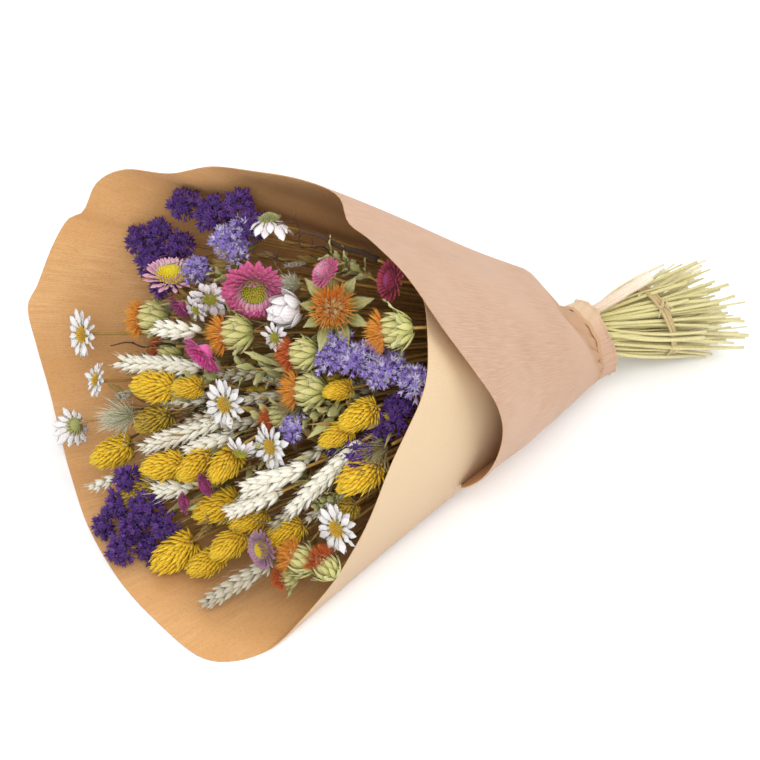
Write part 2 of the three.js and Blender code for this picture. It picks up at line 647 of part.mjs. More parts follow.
function addNode(name, geometry, colour, position = new THREE.Vector3(), roughness = 0.85) {
  const material = new THREE.MeshStandardMaterial({ color: colour, roughness, metalness: 0 });
  const mesh = new THREE.Mesh(geometry, material);
  mesh.name = name;
  mesh.position.copy(position);
  bouquet.add(mesh);
}

/** The mean of the numbers. */
const mean = (numbers) => numbers.reduce((sum, number) => sum + number, 0) / numbers.length;

/** One node's heads round its anchor, and where each head's stalk starts. */
function buildHeads(heads) {
  const centre = [mean(heads.map(([, across]) => across)), mean(heads.map(([, , up]) => up))];
  const out = flowerTop(...centre);
  const anchor = spot(...centre, out);
  const solids = [];
  const feet = [];
  heads.forEach(([maker, across, up, size, turn, raise, options]) => {
    const axis = aimVector(turn, raise);
    const place = spot(across, up, flowerTop(across, up)).sub(anchor);
    const head = maker(size * FULLNESS, options);
    solids.push(...head.parts.map((part) => aimed(part, axis, place)));
    feet.push({ point: place.clone().addScaledVector(axis, -head.depth), axis });
  });
  return { centre, out, solids, feet };
}

const STALK_MERGE = 26; // how far below a group of heads their stalks meet
const STALK_LENGTH = 8; // the same below a single head

/** Stalks from the feet of a node's heads to one root, which points at the neck. */
function buildStalks(feet, anchor, drop) {
  const middle = new THREE.Vector3();
  feet.forEach(({ point }) => middle.addScaledVector(point, 1 / feet.length));
  const goal = NECK.clone().setX(BUNDLE[0]).sub(anchor);
  const course = goal.clone().sub(middle).normalize();
  const sink = MOUTH_NORMAL.clone().multiplyScalar(-drop);
  const length = feet.length > 1 ? STALK_MERGE : STALK_LENGTH;
  const root = middle.clone().add(sink).addScaledVector(course, length);
  const heading = goal.clone().sub(root).normalize();
  const rods = feet.map(({ point, axis }) => {
    const bend = root.clone().addScaledVector(heading, -0.45 * root.distanceTo(point));
    const start = point.clone().addScaledVector(axis, 1.5);
    return rod(new THREE.QuadraticBezierCurve3(start, bend, root), STALK_R, 3, 2);
  });
  return { rods, root };
}

const wrap = solidOf(paperWrap());
addNode('paper_wrap', geometryOf(wrap), '#d9a878');
const settled = [wrap];
const sprays = [];

// Each spray moves along the line of sight, mostly inwards, until it crosses no earlier one.
const SETTLE_TRIES = [];
for (let k = 0; k <= 26; k += 1) SETTLE_TRIES.push(-k * SETTLE_STEP);
for (let k = 1; k <= 10; k += 1) SETTLE_TRIES.splice(2 * k + 1, 0, k * SETTLE_STEP);

for (const [name, colour, heads] of ARRANGEMENT) {
  const { centre, out, solids, feet } = buildHeads(heads);
  const body = fuse([...solids, ...buildStalks(feet, spot(...centre, out), 0).rods]);
  const shift = SETTLE_TRIES.find((step) => {
    const at = spot(...centre, out + step);
    return !crossesAny(body.translate([at.x, at.y, at.z]), settled);
  });
  const anchor = spot(...centre, out + shift);
  settled.push(body.translate([anchor.x, anchor.y, anchor.z]));
  sprays.push({ name, colour, solids, feet, anchor });
}

const bundle = [];
const [bundleFrom, bundleTo] = BUNDLE;
const packed = [[0, bundleFrom], [BUNDLE_R * 0.8, bundleFrom + 2], [BUNDLE_R, bundleTo], [0, bundleTo + 2]];
const core = turned(packed, 10);
bundle.push(core.rotateY(Math.PI / 2).translate(0, NECK.y, NECK.z));
bundle.push(...stemTails());

/** Where a stem from top enters the packed bundle: on the same side as it comes from. */
function bundleEntry(top) {
  const reach = bundleFrom - top.x;
  const side = (top.y - NECK.y) / reach - CONE_AXIS.side;
  const rise = (top.z - NECK.z) / reach - CONE_AXIS.rise;
  const spread = Math.min(1.2, 0.72 / Math.hypot(side, rise)) * BUNDLE_R;
  return new THREE.Vector3(bundleFrom + 4, NECK.y + spread * side, NECK.z + spread * rise);
}

// Each spray's stalks meet nearer to the eye or further down, where its stem is clear.
const placed = [wrap];
const stemRods = [];
sprays.forEach((spray, index) => {
  const { solids, feet, anchor } = spray;
  const others = settled.filter((_, k) => k !== index + 1);
  for (let drop = 0; drop <= 6 * STALK_STEP; drop += STALK_STEP) {
    const { rods, root } = buildStalks(feet, anchor, drop);
    const body = fuse([...solids, ...rods]).translate([anchor.x, anchor.y, anchor.z]);
    const top = root.clone().add(anchor);
    const entry = bundleEntry(top);
    const course = entry.clone().sub(top).normalize();
    const line = new THREE.LineCurve3(top.addScaledVector(course, GAP + 0.1), entry);
    const stem = rod(line, STALK_R, 3, 1);
    const stemSolid = solidOf(stem);
    const stemClear = !crossesAny(stemSolid, [...others, ...placed.slice(1), body]);
    if (!stemClear || crossesAny(body, [...placed, ...stemRods])) continue;
    placed.push(body);
    stemRods.push(stemSolid);
    bundle.push(stem);
    spray.body = body;
    break;
  }
  if (!spray.body) throw new Error(`${spray.name} has no clear way to the neck`);
});

for (const { name, colour, body, anchor } of sprays) {
  const local = body.translate([-anchor.x, -anchor.y, -anchor.z]);
  addNode(name, geometryOf(local), COLOURS[colour], anchor);
}

addNode('stems', geometryOf(fuse(bundle)), '#bdb888');
addNode('paper_band', geometryOf(solidOf(paperBand())), '#d9a878');
addNode('raffia_tie', geometryOf(fuse(raffiaTie())), '#c8ae7c');
addNode('thick_branch', geometryOf(solidOf(thickBranch())), '#e2d7b4');

// The origin is under the middle of the whole, on the table.
const whole = new THREE.Box3().setFromObject(bouquet);
const middle = whole.getCenter(new THREE.Vector3());
bouquet.position.set(-middle.x, -middle.y, -whole.min.z);

export default bouquet;
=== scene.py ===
"""A hand-tied bouquet of dried field flowers in kraft paper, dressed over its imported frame.

Lengths in the classes are millimetres in the bouquet's own neck frame (the neck at the
origin, the mouth towards -X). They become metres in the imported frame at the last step.
"""

import logging
from dataclasses import dataclass, field
from enum import Enum

import bpy
import numpy as np
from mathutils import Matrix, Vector


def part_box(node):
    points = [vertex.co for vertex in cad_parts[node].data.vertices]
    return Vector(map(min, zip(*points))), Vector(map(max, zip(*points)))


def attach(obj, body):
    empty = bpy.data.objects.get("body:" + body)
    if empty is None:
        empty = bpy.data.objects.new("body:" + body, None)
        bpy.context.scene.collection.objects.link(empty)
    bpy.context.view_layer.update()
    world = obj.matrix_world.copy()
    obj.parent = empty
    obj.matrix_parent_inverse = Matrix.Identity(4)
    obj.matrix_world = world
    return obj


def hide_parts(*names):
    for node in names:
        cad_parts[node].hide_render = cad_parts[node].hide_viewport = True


LOG = logging.getLogger("bouquet")
Socket = bpy.types.NodeSocket
MM = 0.001
GOLDEN_ANGLE = np.pi * (3.0 - np.sqrt(5.0))


# ------------------------------------------------------------------ shapes
@dataclass
class Shape:
    """A quad mesh with the values that its finishes read.

    Attributes:
        points: (V, 3) positions in millimetres.
        quads: (F, 4) corner numbers.
        along: (V,) 0 at the root of a repeat and 1 at its tip.
        across: (V,) -1 to 1 from one edge of a repeat to the other.
        chance: (V,) one random value for each repeat.
        finish: (F,) the number of each face's finish.
    """

    points: np.ndarray
    quads: np.ndarray
    along: np.ndarray
    across: np.ndarray
    chance: np.ndarray
    finish: np.ndarray

    def painted(self, finish: "Finish") -> "Shape":
        """The same shape with every face in one finish."""
        return Shape(self.points, self.quads, self.along, self.across, self.chance,
                     np.full(len(self.quads), Palette.number(finish)))

    def moved(self, matrix: np.ndarray) -> "Shape":
        """The shape turned and moved by a 4x4 matrix."""
        points = self.points @ matrix[:3, :3].T + matrix[:3, 3]
        return Shape(points, self.quads, self.along, self.across, self.chance, self.finish)


def joined(shapes: list[Shape]) -> Shape:
    """Puts shapes side by side in one mesh.

    Args:
        shapes: the shapes to hold together.

    Returns:
        One shape with all their points and faces.
    """
    counts = np.cumsum([0] + [len(s.points) for s in shapes[:-1]])
    return Shape(
        np.concatenate([s.points for s in shapes]),
        np.concatenate([s.quads + n for s, n in zip(shapes, counts)]),
        np.concatenate([s.along for s in shapes]),
        np.concatenate([s.across for s in shapes]),
        np.concatenate([s.chance for s in shapes]),
        np.concatenate([s.finish for s in shapes]),
    )


def ring_quads(rows: int, ring: int) -> np.ndarray:
    """Quads of a tube of rings, numbered ring by ring, with faces outward.

    Args:
        rows: how many rings of points there are.
        ring: how many points each ring has.

    Returns:
        (F, 4) corner numbers.
    """
    r, k = np.meshgrid(np.arange(rows - 1), np.arange(ring), indexing="ij")
    here, after = r * ring + k, r * ring + (k + 1) % ring
    return np.stack([here, after, after + ring, here + ring], axis=-1).reshape(-1, 4)


def shape_of(points: np.ndarray, quads: np.ndarray, along: np.ndarray, across: np.ndarray) -> Shape:
    """A shape with no finish and one chance value.

    Args:
        points: positions, any leading shape.
        quads: (F, 4) corner numbers.
        along: values from root to tip, one a point.
        across: values from edge to edge, one a point.

    Returns:
        The shape.
    """
    flat = points.reshape(-1, 3)
    return Shape(flat, quads, along.ravel(), across.ravel(), np.zeros(len(flat)),
                 np.zeros(len(quads), int))


def blade(
    length: float, width: float, *, rows: int = 6, ring: int = 8, belly: float = 0.6, blunt: float = 0.0,
    root: float = 0.25, cup: float = 0.1, curl: float = 0.0, fold: float = 0.0, thick: float = 0.3,
    wave: float = 0.0,
) -> Shape:
    """A petal, bract, scale or leaf that grows along +X and faces +Z.

    The half width at u from root to tip is sin(pi * u**p), with p set so that it is widest
    at the belly, mixed with a root stub and a blunt end. The cross-section is a thin lens
    whose middle is sunk by cup, so the edges stand up, and the tip lifts by curl * u**2.

    Args:
        length: from root to tip.
        width: at the widest place.
        rows: steps from root to tip.
        ring: points round the cross-section, an even number.
        belly: where along the length it is widest.
        blunt: 0 for a pointed tip, 1 for a broad one.
        root: width of the root as a share of the whole.
        cup: how far the edges stand up, as a share of the width.
        curl: how far the tip lifts, as a share of the length.
        fold: how sharply the middle is creased, as a share of the width.
        thick: thickness in the middle.
        wave: how far the edges ripple, as a share of the width.

    Returns:
        The closed blade.
    """
    u = np.linspace(0.0, 1.0, rows + 1)[:, None]
    turn = np.arange(ring)[None, :] * 2.0 * np.pi / ring
    power = np.log(0.5) / np.log(belly)
    body = np.sin(np.pi * np.clip(u, 0, 1) ** power)
    end = np.clip((u - belly) / (1.0 - belly), 0, 1) * np.sqrt(np.clip(1.0 - u ** 6, 0, 1))
    stub = root * (1.0 - u) + blunt * end
    half = 0.5 * width * np.clip(np.maximum(body, stub), 0.0, 1.0)
    side = -np.cos(turn)
    y = half * side
    lens = 0.5 * thick * np.sin(turn) * np.sqrt(np.clip(half / (0.5 * width), 0.02, 1.0))
    lift = cup * width * side ** 2 * body + fold * width * np.abs(side) * body
    ripple = wave * width * np.sin(u * 14.0 + side * 1.5) * np.abs(side)
    z = -lens + lift + ripple + curl * length * u ** 2
    x = length * u + 0.0 * side
    points = np.stack([x, y, z], axis=-1)
    return shape_of(points, ring_quads(rows + 1, ring), u + 0.0 * side, side + 0.0 * u)


def revolved(profile: list[tuple[float, float]], sides: int = 16) -> Shape:
    """A body of revolution about Z.

    Args:
        profile: (radius, height) pairs from the bottom up.
        sides: points round the axis.

    Returns:
        The shape, whose along value runs up the profile.
    """
    line = np.array(profile, float)
    turn = np.arange(sides) * 2.0 * np.pi / sides
    x = line[:, :1] * np.cos(turn)
    y = line[:, :1] * np.sin(turn)
    z = line[:, 1:] + 0.0 * x
    along = np.linspace(0, 1, len(line))[:, None] + 0.0 * x
    across = np.cos(turn)[None, :] + 0.0 * x
    return shape_of(np.stack([x, y, z], axis=-1), ring_quads(len(line), sides), along, across)


def ovoid(radius: float, height: float, *, rows: int = 8, sides: int = 14) -> Shape:
    """An egg-like ball about Z: radius times the sine and half height times the cosine.

    Args:
        radius: the largest radius.
        height: from bottom to top.
        rows: steps from pole to pole.
        sides: points round the axis.

    Returns:
        The shape.
    """
    turn = np.linspace(0.0, np.pi, rows + 1)
    profile = np.stack([radius * np.sin(turn), -0.5 * height * np.cos(turn)], axis=-1)
    return revolved([tuple(p) for p in profile], sides)


def funnel(radius: float, depth: float, *, lobes: int = 5, sides: int = 10) -> Shape:
    """A papery funnel that opens towards +Z: out along its outside and back down its inside.

    The radius grows with the 1.6th power of the height, and the lip rises and falls with
    the cosine of the lobes' angle.

    Args:
        radius: of the lip.
        depth: from foot to lip.
        lobes: how many lobes the lip has.
        sides: points round the axis.

    Returns:
        The shape, closed to a point at its foot and at the bottom of its throat.
    """
    level = np.array([0.0, 0.55, 1.0, 0.6])[:, None]
    turn = (np.arange(sides) * 2.0 * np.pi / sides)[None, :]
    edge = 1.0 + 0.3 * np.cos(lobes * turn) * level ** 2
    r = radius * (0.1 + 0.9 * level ** 1.6) * edge
    r[[0, -1]] = 0.02
    z = depth * level + 0.2 * depth * np.cos(lobes * turn) * level ** 3
    points = np.stack([r * np.cos(turn), r * np.sin(turn), z], axis=-1)
    return shape_of(points, ring_quads(len(level), sides), level + 0.0 * turn, np.cos(turn) + 0.0 * level)


def tubes(paths: np.ndarray, radii: np.ndarray, sides: int = 6) -> Shape:
    """Round rods along many paths at once, closed to a point at each end.

    At each step the ring stands square to the path's own direction, on two axes made from
    the path's direction and one fixed side vector.

    Args:
        paths: (N, P, 3) points of each path.
        radii: (N, P) or broadcastable radii.
        sides: points round each rod.

    Returns:
        One shape with all rods.
    """
    count, steps = paths.shape[:2]
    course = np.gradient(paths, axis=1)
    course /= np.linalg.norm(course, axis=2, keepdims=True) + 1e-9
    mean = course.mean(axis=1, keepdims=True)
    helper = np.where(np.abs(mean[..., 2:3]) > 0.8, np.array([1.0, 0.0, 0.0]), np.array([0.0, 0.0, 1.0]))
    side = np.cross(course, helper)
    side /= np.linalg.norm(side, axis=2, keepdims=True) + 1e-9
    other = np.cross(course, side)
    turn = np.arange(sides) * 2.0 * np.pi / sides
    radius = np.broadcast_to(radii, (count, steps)).copy()
    ring = side[:, :, None, :] * np.cos(turn)[:, None] + other[:, :, None, :] * np.sin(turn)[:, None]
    body = paths[:, :, None, :] + radius[:, :, None, None] * ring
    first = np.repeat(paths[:, :1, None, :], sides, axis=2)
    last = np.repeat(paths[:, -1:, None, :], sides, axis=2)
    points = np.concatenate([first, body, last], axis=1)
    rows = steps + 2
    one = ring_quads(rows, sides)
    quads = (one[None] + (np.arange(count) * rows * sides)[:, None, None]).reshape(-1, 4)
    along = np.broadcast_to(np.linspace(0, 1, rows)[None, :, None], (count, rows, sides))
    across = np.broadcast_to(np.cos(turn)[None, None, :], (count, rows, sides))
    shape = shape_of(points, quads, along, across)
    shape.chance = np.repeat(np.modf(np.arange(count) * 0.618034)[0], rows * sides)
    return shape


def scatter(shape: Shape, places: np.ndarray, seed: float = 0.0) -> Shape:
    """Repeats a shape at many places.

    Args:
        shape: the shape to repeat.
        places: (N, 4, 4) matrices.
        seed: shifts the chance values of the repeats.

    Returns:
        One shape with all the repeats.
    """
    count, size = len(places), len(shape.points)
    points = np.einsum("nij,vj->nvi", places[:, :3, :3], shape.points) + places[:, None, :3, 3]
    quads = (shape.quads[None] + (np.arange(count) * size)[:, None, None]).reshape(-1, 4)
    chance = np.modf(np.arange(count) * 0.618034 + seed)[0]
    return Shape(points.reshape(-1, 3), quads, np.tile(shape.along, count), np.tile(shape.across, count),
                 np.repeat(chance, size), np.tile(shape.finish, count))


def around(angle: np.ndarray, pitch: np.ndarray, radius: np.ndarray, height: np.ndarray,
           scale: np.ndarray | float = 1.0, roll: np.ndarray | float = 0.0) -> np.ndarray:
    """Places round Z: each repeat's +X points outward and up by its pitch.

    Args:
        angle: round the axis, in radians.
        pitch: above the level, in radians.
        radius: of the root.
        height: of the root.
        scale: of each repeat.
        roll: about each repeat's own length, in radians.

    Returns:
        (N, 4, 4) matrices.
    """
    angle, pitch, radius, height, scale, roll = np.broadcast_arrays(angle, pitch, radius, height, scale, roll)
    ca, sa, cp, sp = np.cos(angle), np.sin(angle), np.cos(pitch), np.sin(pitch)
    out = np.stack([ca * cp, sa * cp, sp], axis=-1)
    normal = np.stack([-ca * sp, -sa * sp, cp], axis=-1)
    side = np.cross(normal, out)
    tilted = normal * np.cos(roll)[:, None] + side * np.sin(roll)[:, None]
    side = np.cross(tilted, out)
    places = np.zeros((len(angle), 4, 4))
    places[:, :3, 0] = out * scale[:, None]
    places[:, :3, 1] = side * scale[:, None]
    places[:, :3, 2] = tilted * scale[:, None]
    places[:, :3, 3] = np.stack([ca * radius, sa * radius, height], axis=-1)
    places[:, 3, 3] = 1.0
    return places


def pointing(at: np.ndarray, course: np.ndarray, roll: np.ndarray, scale: np.ndarray) -> np.ndarray:
    """Places whose +X runs along a direction each, rolled about it.

    Args:
        at: (N, 3) roots.
        course: (N, 3) directions.
        roll: about the direction, in radians.
        scale: of each repeat.

    Returns:
        (N, 4, 4) matrices.
    """
    first = course / np.linalg.norm(course, axis=1, keepdims=True)
    level = np.cross(np.array([0.0, 0.0, 1.0]), first)
    level /= np.linalg.norm(level, axis=1, keepdims=True) + 1e-9
    upright = np.cross(first, level)
    second = level * np.cos(roll)[:, None] + upright * np.sin(roll)[:, None]
    places = np.zeros((len(at), 4, 4))
    places[:, :3, 0] = first * scale[:, None]
    places[:, :3, 1] = second * scale[:, None]
    places[:, :3, 2] = np.cross(first, second) * scale[:, None]
    places[:, :3, 3] = at
    places[:, 3, 3] = 1.0
    return places


def facing(direction: np.ndarray, at: np.ndarray, roll: float = 0.0) -> np.ndarray:
    """The matrix that turns +Z to a direction and moves the origin to a point.

    Args:
        direction: where +Z goes.
        at: where the origin goes.
        roll: turn about the direction first, in radians.

    Returns:
        A 4x4 matrix.
    """
    turn = Vector((0.0, 0.0, 1.0)).rotation_difference(Vector(direction)).to_matrix()
    c, s = np.cos(roll), np.sin(roll)
    matrix = np.eye(4)
    matrix[:3, :3] = np.array(turn) @ np.array([[c, -s, 0], [s, c, 0], [0, 0, 1]])
    matrix[:3, 3] = at
    return matrix


# ------------------------------------------------------------------ finishes
def linear(code: str) -> tuple[float, float, float, float]:
    """A linear colour from a #rrggbb code.

    Args:
        code: the code.

    Returns:
        Red, green, blue and an alpha of 1.
    """
    value = np.array([int(code[i:i + 2], 16) for i in (1, 3, 5)]) / 255.0
    value = np.where(value <= 0.04045, value / 12.92, ((value + 0.055) / 1.055) ** 2.4)
    return (*value.tolist(), 1.0)


class Nodes:
    """Short calls that build one material's node tree."""

    def __init__(self, name: str) -> None:
        """Starts a material with an empty tree and its shader.

        Args:
            name: the material's name.
        """
        self.material = bpy.data.materials.new(name)
        self.material.use_nodes = True
        self.tree = self.material.node_tree
        self.shader = self.tree.nodes["Principled BSDF"]

    def link(self, source: Socket, target: Socket) -> None:
        """Links two sockets."""
        self.tree.links.new(source, target)

    def attribute(self, name: str) -> Socket:
        """The value of one of the mesh's attributes.

        Args:
            name: the attribute's name.

        Returns:
            The value's socket.
        """
        node = self.tree.nodes.new("ShaderNodeAttribute")
        node.attribute_name = name
        return node.outputs["Fac"]

    def place(self) -> Socket:
        """Object coordinates."""
        return self.tree.nodes.new("ShaderNodeTexCoord").outputs["Object"]

    def noise(self, scale: float, detail: float = 3.0, vector: Socket | None = None,
              rough: float = 0.5) -> Socket:
        """A noise value at a scale, in repeats a metre.

        Args:
            scale: repeats a metre.
            detail: how many finer layers it has.
            vector: where it is read; object coordinates if None.
            rough: how strong the finer layers are.

        Returns:
            The value's socket, from 0 to 1.
        """
        node = self.tree.nodes.new("ShaderNodeTexNoise")
        node.inputs["Scale"].default_value = scale
        node.inputs["Detail"].default_value = detail
        node.inputs["Roughness"].default_value = rough
        self.link(vector or self.place(), node.inputs["Vector"])
        return node.outputs["Fac"]

    def ramp(self, value: Socket, stops: list[tuple[float, str]]) -> Socket:
        """Colours at stops along a value.

        Args:
            value: what runs along the stops.
            stops: positions and #rrggbb codes.

        Returns:
            The colour's socket.
        """
        node = self.tree.nodes.new("ShaderNodeValToRGB")
        elements = node.color_ramp.elements
        while len(elements) < len(stops):
            elements.new(0.5)
        for element, (position, code) in zip(elements, stops):
            element.position = position
            element.color = linear(code)
        self.link(value, node.inputs["Fac"])
        return node.outputs["Color"]

    def mix(self, factor: Socket | float, a: Socket, b: Socket | str,
            blend: str = "MIX") -> Socket:
        """Two colours mixed by a factor.

        Args:
            factor: 0 for the first colour, 1 for the second.
            a: the first colour.
            b: the second colour, as a socket or a code.
            blend: how they are combined.

        Returns:
            The colour's socket.
        """
        node = self.tree.nodes.new("ShaderNodeMix")
        node.data_type = "RGBA"
        node.blend_type = blend
        if isinstance(factor, float):
            node.inputs[0].default_value = factor
        else:
            self.link(factor, node.inputs[0])
        self.link(a, node.inputs[6])
        if isinstance(b, str):
            node.inputs[7].default_value = linear(b)
        else:
            self.link(b, node.inputs[7])
        return node.outputs[2]

    def scaled(self, value: Socket, low: float, high: float, to_low: float,
               to_high: float) -> Socket:
        """A value moved from one range to another and kept inside it.

        Args:
            value: the value.
            low: lower end of its range.
            high: upper end of its range.
            to_low: what the lower end becomes.
            to_high: what the upper end becomes.

        Returns:
            The new value's socket.
        """
        node = self.tree.nodes.new("ShaderNodeMapRange")
        for key, number in (("From Min", low), ("From Max", high), ("To Min", to_low), ("To Max", to_high)):
            node.inputs[key].default_value = number
        self.link(value, node.inputs["Value"])
        return node.outputs["Result"]

    def maths(self, operation: str, a: Socket, b: Socket | float) -> Socket:
        """One step of arithmetic on two values.

        Args:
            operation: its name.
            a: the first value.
            b: the second value, as a socket or a number.

        Returns:
            The result's socket.
        """
        node = self.tree.nodes.new("ShaderNodeMath")
        node.operation = operation
        self.link(a, node.inputs[0])
        if isinstance(b, float):
            node.inputs[1].default_value = b
        else:
            self.link(b, node.inputs[1])
        return node.outputs["Value"]

    def bump(self, value: Socket, strength: float, distance_mm: float) -> None:
        """Raises the surface by a value.

        Args:
            value: the height, as a share.
            strength: how strong the effect is.
            distance_mm: height of a whole step, in millimetres.
        """
        node = self.tree.nodes.new("ShaderNodeBump")
        node.inputs["Strength"].default_value = strength
        node.inputs["Distance"].default_value = distance_mm * MM
        self.link(value, node.inputs["Height"])
        self.link(node.outputs["Normal"], self.shader.inputs["Normal"])

    def grey(self, value: Socket) -> Socket:
        """A grey colour from one value.

        Args:
            value: how light it is.

        Returns:
            The colour's socket.
        """
        node = self.tree.nodes.new("ShaderNodeCombineColor")
        for key in ("Red", "Green", "Blue"):
            self.link(value, node.inputs[key])
        return node.outputs["Color"]

    def colour(self, socket: Socket) -> None:
        """Sends a colour to the shader."""
        self.link(socket, self.shader.inputs["Base Color"])

    def gloss(self, roughness: float, specular: float = 0.3, sheen: float = 0.0) -> None:
        """Sets the shader's constants.

        Args:
            roughness: of the surface.
            specular: how much it mirrors.
            sheen: soft light at grazing angles.
        """
        self.shader.inputs["Roughness"].default_value = roughness
        self.shader.inputs["Specular IOR Level"].default_value = specular
        self.shader.inputs["Sheen Weight"].default_value = sheen


@dataclass(frozen=True)
class Finish:
    """A finish that varies from root to tip, from repeat to repeat and over the surface.

    Attributes:
        name: the material's name.
        stops: colours from root to tip.
        shade: a second colour that some repeats lean to.
        spread: how much they lean to it.
        blotch: scale of the fine cloudiness, a metre.
        ribs: how many veins or ribs run along each repeat.
        relief: height of the ribs and grain, in millimetres.
        roughness: of the surface.
        sheen: soft light at grazing angles.
        specular: how much it mirrors.
    """

    name: str
    stops: tuple[tuple[float, str], ...]
    shade: str
    spread: float = 0.35
    blotch: float = 900.0
    ribs: float = 5.0
    relief: float = 0.15
    roughness: float = 0.6
    sheen: float = 0.1
    specular: float = 0.3

    def material(self) -> bpy.types.Material:
        """Builds the finish's material.

        The colour follows the stops, leans to the shade by each repeat's chance, and is darkened
        in the grooves: the sine of across times ribs times pi. That darkening is partly the veins'
        and ribs' own colour and partly painted shade in the grooves.

        Returns:
            The material.
        """
        n = Nodes(self.name)
        along = n.attribute("along")
        cloud = n.noise(self.blotch)
        wobble = n.maths("MULTIPLY", n.maths("SUBTRACT", cloud, 0.5), 0.22)
        base = n.ramp(n.maths("ADD", along, wobble), list(self.stops))
        lean = n.maths("MULTIPLY", n.attribute("chance"), self.spread)
        toned = n.mix(lean, base, self.shade)
        rib = n.maths("SINE", n.maths("MULTIPLY", n.attribute("across"), self.ribs * np.pi), 0.0)
        # Darker lines along the veins and ribs: partly their own colour, partly painted shade in the grooves
        # where the bump sinks.
        groove_shade = n.scaled(rib, -1.0, 1.0, 0.86, 1.0)
        dark = n.scaled(cloud, 0.3, 0.7, 0.88, 1.04)
        tone = n.maths("MULTIPLY", groove_shade, dark)
        n.colour(n.mix(1.0, toned, n.grey(tone), "MULTIPLY"))
        n.bump(n.maths("ADD", rib, n.noise(self.blotch * 2.0)), 0.5, self.relief)
        n.gloss(self.roughness, self.specular, self.sheen)
        return n.material


@dataclass(frozen=True)
class PaperFinish:
    """Ribbed kraft paper: golden inside, pinker outside and palest, by painted light, where the sheet begins.

    Each face has a colour for its dark fibres and one for its light ones. The outer face also has
    one where the sheet begins, paler as painted light, one for the sleeve by the band, darker as
    painted shade, and all have their flecks.
    """

    name: str = "kraft_paper"
    inside: str = "#d29d64"
    inside_light: str = "#e3b580"
    outside: str = "#b59075"
    outside_light: str = "#c4a38c"
    # Painted light: a paler colour for where the sheet begins, which lies in the flap's shade.
    painted_light_first_layer: str = "#d9bf9b"
    # Painted shade: a darker colour for the crumpled sleeve by the band.
    sleeve: str = "#b8906c"
    fleck: str = "#a8744a"

    def material(self) -> bpy.types.Material:
        """Builds the paper: the 'face' attribute is 1 on the outside, and UV runs in metres.

        Returns:
            The material.
        """
        n = Nodes(self.name)
        uv = n.tree.nodes.new("ShaderNodeUVMap")
        uv.uv_map = "UVMap"
        stretch = n.tree.nodes.new("ShaderNodeMapping")
        stretch.inputs["Scale"].default_value = (1.0, 0.04, 1.0)
        n.link(uv.outputs["UV"], stretch.inputs["Vector"])
        fibre = n.noise(700.0, 5.0, stretch.outputs["Vector"])
        rib = n.tree.nodes.new("ShaderNodeTexWave")
        rib.inputs["Scale"].default_value = 230.0
        rib.inputs["Distortion"].default_value = 0.6
        rib.inputs["Detail"].default_value = 1.0
        n.link(uv.outputs["UV"], rib.inputs["Vector"])
        cloud = n.noise(18.0, 5.0)
        speck = n.noise(620.0, 3.0)
        cloudy = n.scaled(cloud, 0.35, 0.65, 0.0, 1.0)
        inner = n.mix(cloudy, n.ramp(fibre, [(0.3, self.inside), (0.7, self.inside_light)]), self.inside)
        cloudy = n.scaled(cloud, 0.35, 0.7, 0.0, 1.0)
        outer = n.ramp(fibre, [(0.3, self.outside), (0.7, self.outside_light)])
        outer = n.mix(cloudy, outer, self.outside_light)
        # Painted light: the sheet's first stretch round the cone is made paler.
        outer = n.mix(n.scaled(n.attribute("along"), 0.12, 0.34, 1.0, 0.0), outer, self.painted_light_first_layer)
        # Painted shade: the outside darkens on the sleeve next to the band.
        outer = n.mix(n.scaled(n.attribute("across"), 0.2, 0.24, 0.75, 0.0), outer, self.sleeve)
        sheet = n.mix(n.attribute("face"), inner, outer)
        specks = n.scaled(speck, 0.5, 0.72, 0.0, 0.26)
        flecks = n.maths("MULTIPLY", specks, n.scaled(n.attribute("face"), 0.0, 1.0, 1.0, 0.25))
        flecked = n.mix(flecks, sheet, self.fleck)
        lined = n.scaled(rib.outputs["Fac"], 0.0, 1.0, 0.89, 1.0)
        n.colour(n.mix(1.0, flecked, n.grey(lined), "MULTIPLY"))
        relief = n.maths("ADD", n.maths("MULTIPLY", rib.outputs["Fac"], 0.5), n.maths("MULTIPLY", cloud, 3.0))
        n.bump(relief, 0.35, 0.4)
        n.gloss(0.72, 0.25, 0.05)
        return n.material


class Palette:
    """Numbers the finishes and builds each material once."""

    finishes: list = []
    materials: dict = {}

    @classmethod
    def number(cls, finish: Finish | PaperFinish) -> int:
        """The finish's number, given on first use.

        Args:
            finish: the finish.

        Returns:
            Its number.
        """
        if finish not in cls.finishes:
            cls.finishes.append(finish)
        return cls.finishes.index(finish)

    @classmethod
    def material(cls, number: int) -> bpy.types.Material:
        """The material of a numbered finish.

        Args:
            number: the finish's number.

        Returns:
            The material, built on first use.
        """
        if number not in cls.materials:
            cls.materials[number] = cls.finishes[number].material()
        return cls.materials[number]


def petals(name: str, root: str, middle: str, tip: str, shade: str, **more: float) -> Finish:
    """A petal finish from three colours and the one that some petals lean to."""
    return Finish(name, ((0.05, root), (0.45, middle), (0.95, tip)), shade, **more)


def graded(name: str, root: str, middle: str, tip: str, shade: str, at: float = 0.5, **more: float) -> Finish:
    """A finish from three colours, the middle one at a share of the length, and the shade."""
    return Finish(name, ((0.0, root), (at, middle), (1.0, tip)), shade, **more)


